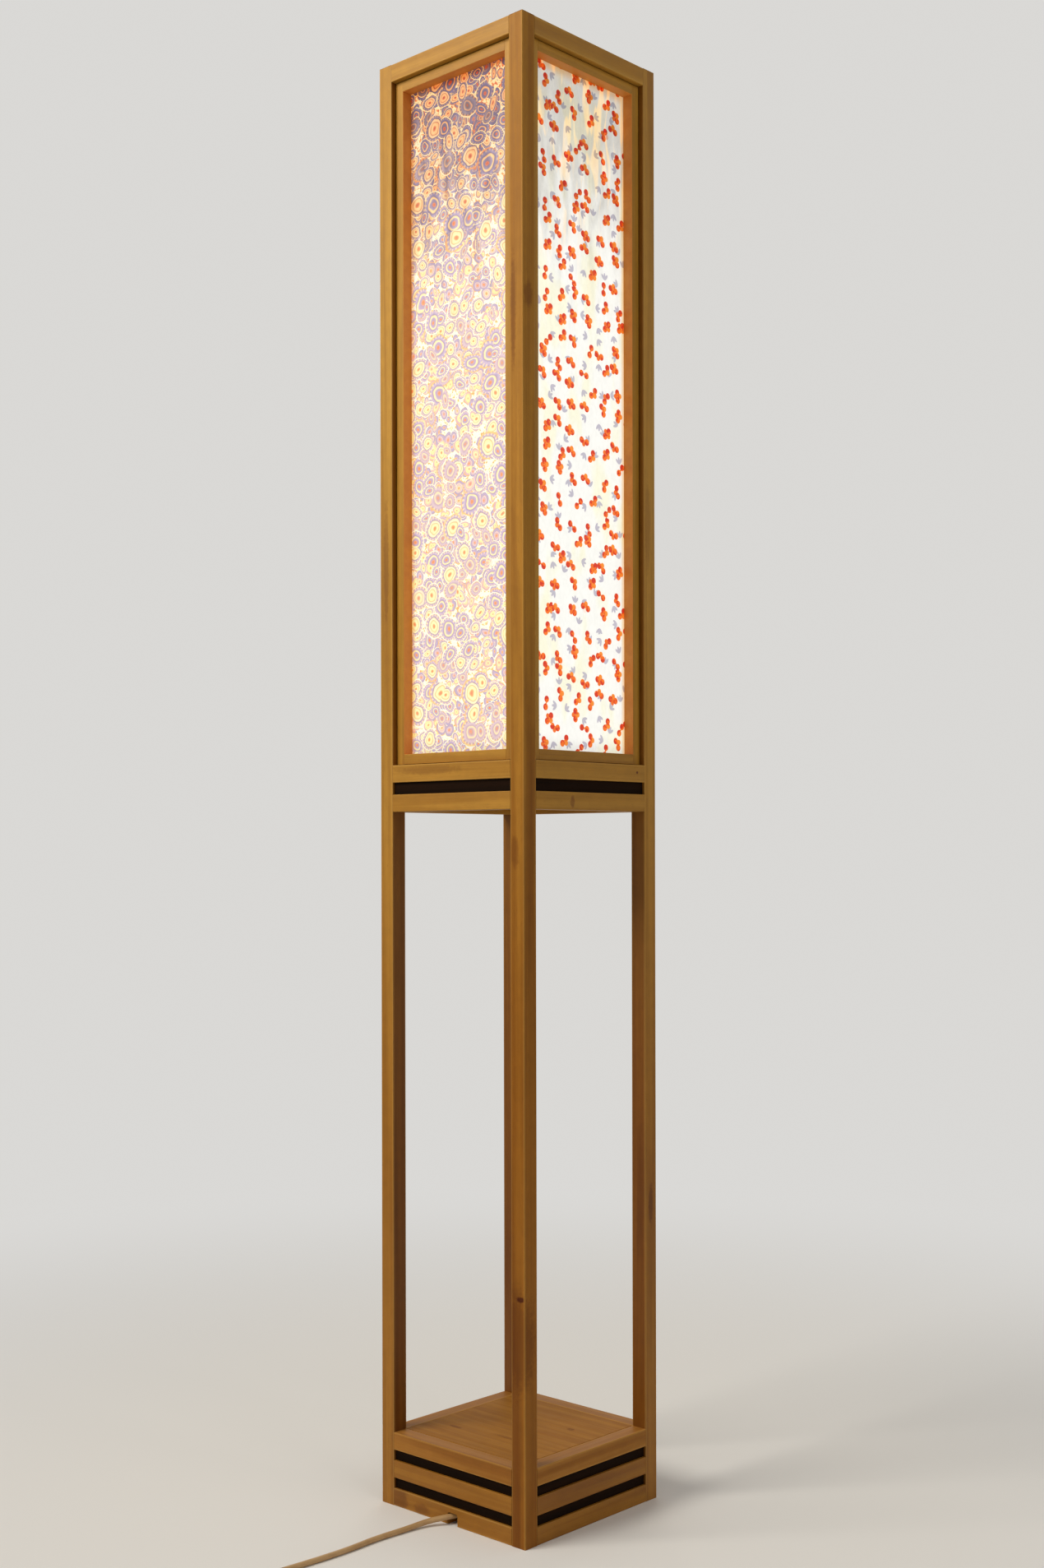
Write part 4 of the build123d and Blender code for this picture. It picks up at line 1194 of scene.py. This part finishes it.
@dataclass
class Studio:
    """Floor, lamps, world and camera."""

    focal_pixels: float = 2256.05
    image_height: int = 1907
    sensor: float = 36.0
    camera_place: Point = (1.32896, -1.42569, 0.67883)
    heading: float = 43.03
    roll: float = 0.115
    axis_shift: tuple[float, float] = (5.77, 84.12)
    backdrop: Colour = (0.70, 0.69, 0.67, 1.0)
    warm: Point = (1.0, 0.94, 0.84)
    floor_radius: float = 14.0
    fade: tuple[float, float] = (0.25, 1.8)

    def camera(self) -> None:
        """Set the camera at the viewing angle."""
        data = bpy.data.cameras.new("camera")
        data.sensor_fit = "VERTICAL"
        data.sensor_height = self.sensor
        data.lens = self.focal_pixels / self.image_height * self.sensor
        data.shift_x, data.shift_y = (part / self.image_height for part in self.axis_shift)
        data.clip_start = 0.01
        camera = bpy.data.objects.new("camera", data)
        camera.location = self.camera_place
        camera.rotation_euler = [math.radians(part) for part in (90.0, self.roll, self.heading)]
        bpy.context.scene.collection.objects.link(camera)
        bpy.context.scene.camera = camera

    def floor(self) -> None:
        """Lay the plain floor, which fades into the backdrop far from the lamp."""
        Bench.clear()
        bpy.ops.mesh.primitive_circle_add(vertices=96, radius=self.floor_radius,
                                          fill_type="NGON", location=(0.0, 0.0, 0.0))
        floor = bpy.context.object
        floor.name = "studio_floor"
        finish = Finish("studio floor", {"Roughness": 0.85, "Specular IOR Level": 0.2})
        graph = finish.graph
        finish.feed("Base Color", graph.mix(graph.noise(finish.place, 1.3),
                                            (0.86, 0.85, 0.83, 1.0), (0.89, 0.88, 0.86, 1.0)))
        seen = graph.add("ShaderNodeLightPath").outputs["Is Camera Ray"]
        far = graph.times(graph.remap(graph.vector("LENGTH", finish.place), *self.fade), seen)
        pale = graph.add("ShaderNodeEmission", [("Color", self.backdrop)])
        blend = graph.add("ShaderNodeMixShader", enumerate(
            (far, finish.shader.outputs[0], pale.outputs[0])))
        graph.feed(graph.tree.nodes["Material Output"].inputs["Surface"], blend.outputs[0])
        floor.data.materials.append(finish.material)

    def lamp(self, name: str, place: Point, aim: float, size: float, power: float,
             spread: float = 180.0) -> None:
        """Hang one soft, warm lamp.

        Args:
            name: Its name.
            place: Where it hangs.
            aim: The height that it points at, over the origin.
            size: The side of its square, in metres.
            power: Its power, in watts.
            spread: How wide it throws its light, in degrees.
        """
        data = bpy.data.lights.new(name, "AREA")
        data.spread = math.radians(spread)
        data.size = size
        data.energy = power
        data.color = self.warm
        lamp = bpy.data.objects.new(name, data)
        lamp.location = place
        way = Vector((0.0, 0.0, aim)) - Vector(place)
        lamp.rotation_euler = way.to_track_quat("-Z", "Y").to_euler()
        bpy.context.scene.collection.objects.link(lamp)

    def world(self) -> None:
        """Light everything softly, and show a pale backdrop."""
        world = bpy.data.worlds.new("studio")
        world.use_nodes = True
        graph = Graph(world.node_tree)
        world.node_tree.nodes.clear()
        path = graph.add("ShaderNodeLightPath").outputs
        seen = graph.most(path["Is Camera Ray"], path["Is Glossy Ray"],
                          path["Is Transmission Ray"])
        soft = graph.add("ShaderNodeBackground",
                         [("Color", (1.0, 0.97, 0.92, 1.0)), ("Strength", 0.29)])
        shown = graph.add("ShaderNodeBackground", [("Color", self.backdrop)])
        mixed = graph.add("ShaderNodeMixShader",
                          enumerate((seen, soft.outputs[0], shown.outputs[0])))
        graph.add("ShaderNodeOutputWorld", [("Surface", mixed.outputs[0])])
        bpy.context.scene.world = world

    def build(self) -> None:
        """Set up the whole studio."""
        self.camera()
        self.floor()
        self.world()
        self.lamp("key", (-0.8, -2.2, 2.6), 1.35, 1.5, 26.0, 100.0)
        self.lamp("fill", (2.5, -0.3, 2.3), 1.1, 1.6, 11.5)
        self.lamp("back", (-1.9, 2.6, 2.3), 1.0, 1.6, 13.0)
        bpy.context.scene.view_settings.view_transform = "Standard"


def dress(finish: bpy.types.Material, *nodes: str) -> None:
    """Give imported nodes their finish.

    Args:
        finish: The material.
        *nodes: The nodes' names.
    """
    for node in nodes:
        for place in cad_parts[node].material_slots:
            place.material = finish
        log.info("%s wears %s", node, finish.name)


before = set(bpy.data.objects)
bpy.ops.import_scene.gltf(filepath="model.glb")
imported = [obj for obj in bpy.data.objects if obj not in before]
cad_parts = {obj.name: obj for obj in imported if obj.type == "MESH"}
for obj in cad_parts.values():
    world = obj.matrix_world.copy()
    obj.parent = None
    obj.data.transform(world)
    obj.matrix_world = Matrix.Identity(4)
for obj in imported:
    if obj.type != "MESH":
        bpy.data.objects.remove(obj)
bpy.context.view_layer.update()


def main() -> None:
    """Build and dress the lamp, its cord and the studio."""
    logging.basicConfig(level=logging.INFO, format="%(name)s: %(message)s")
    Studio().build()
    CordSet().build()
    effects = Effects()
    FramePieces(effects).dress()
    Screens(effects).dress()
    LightFitting.dress()


if __name__ == "__main__":
    main()
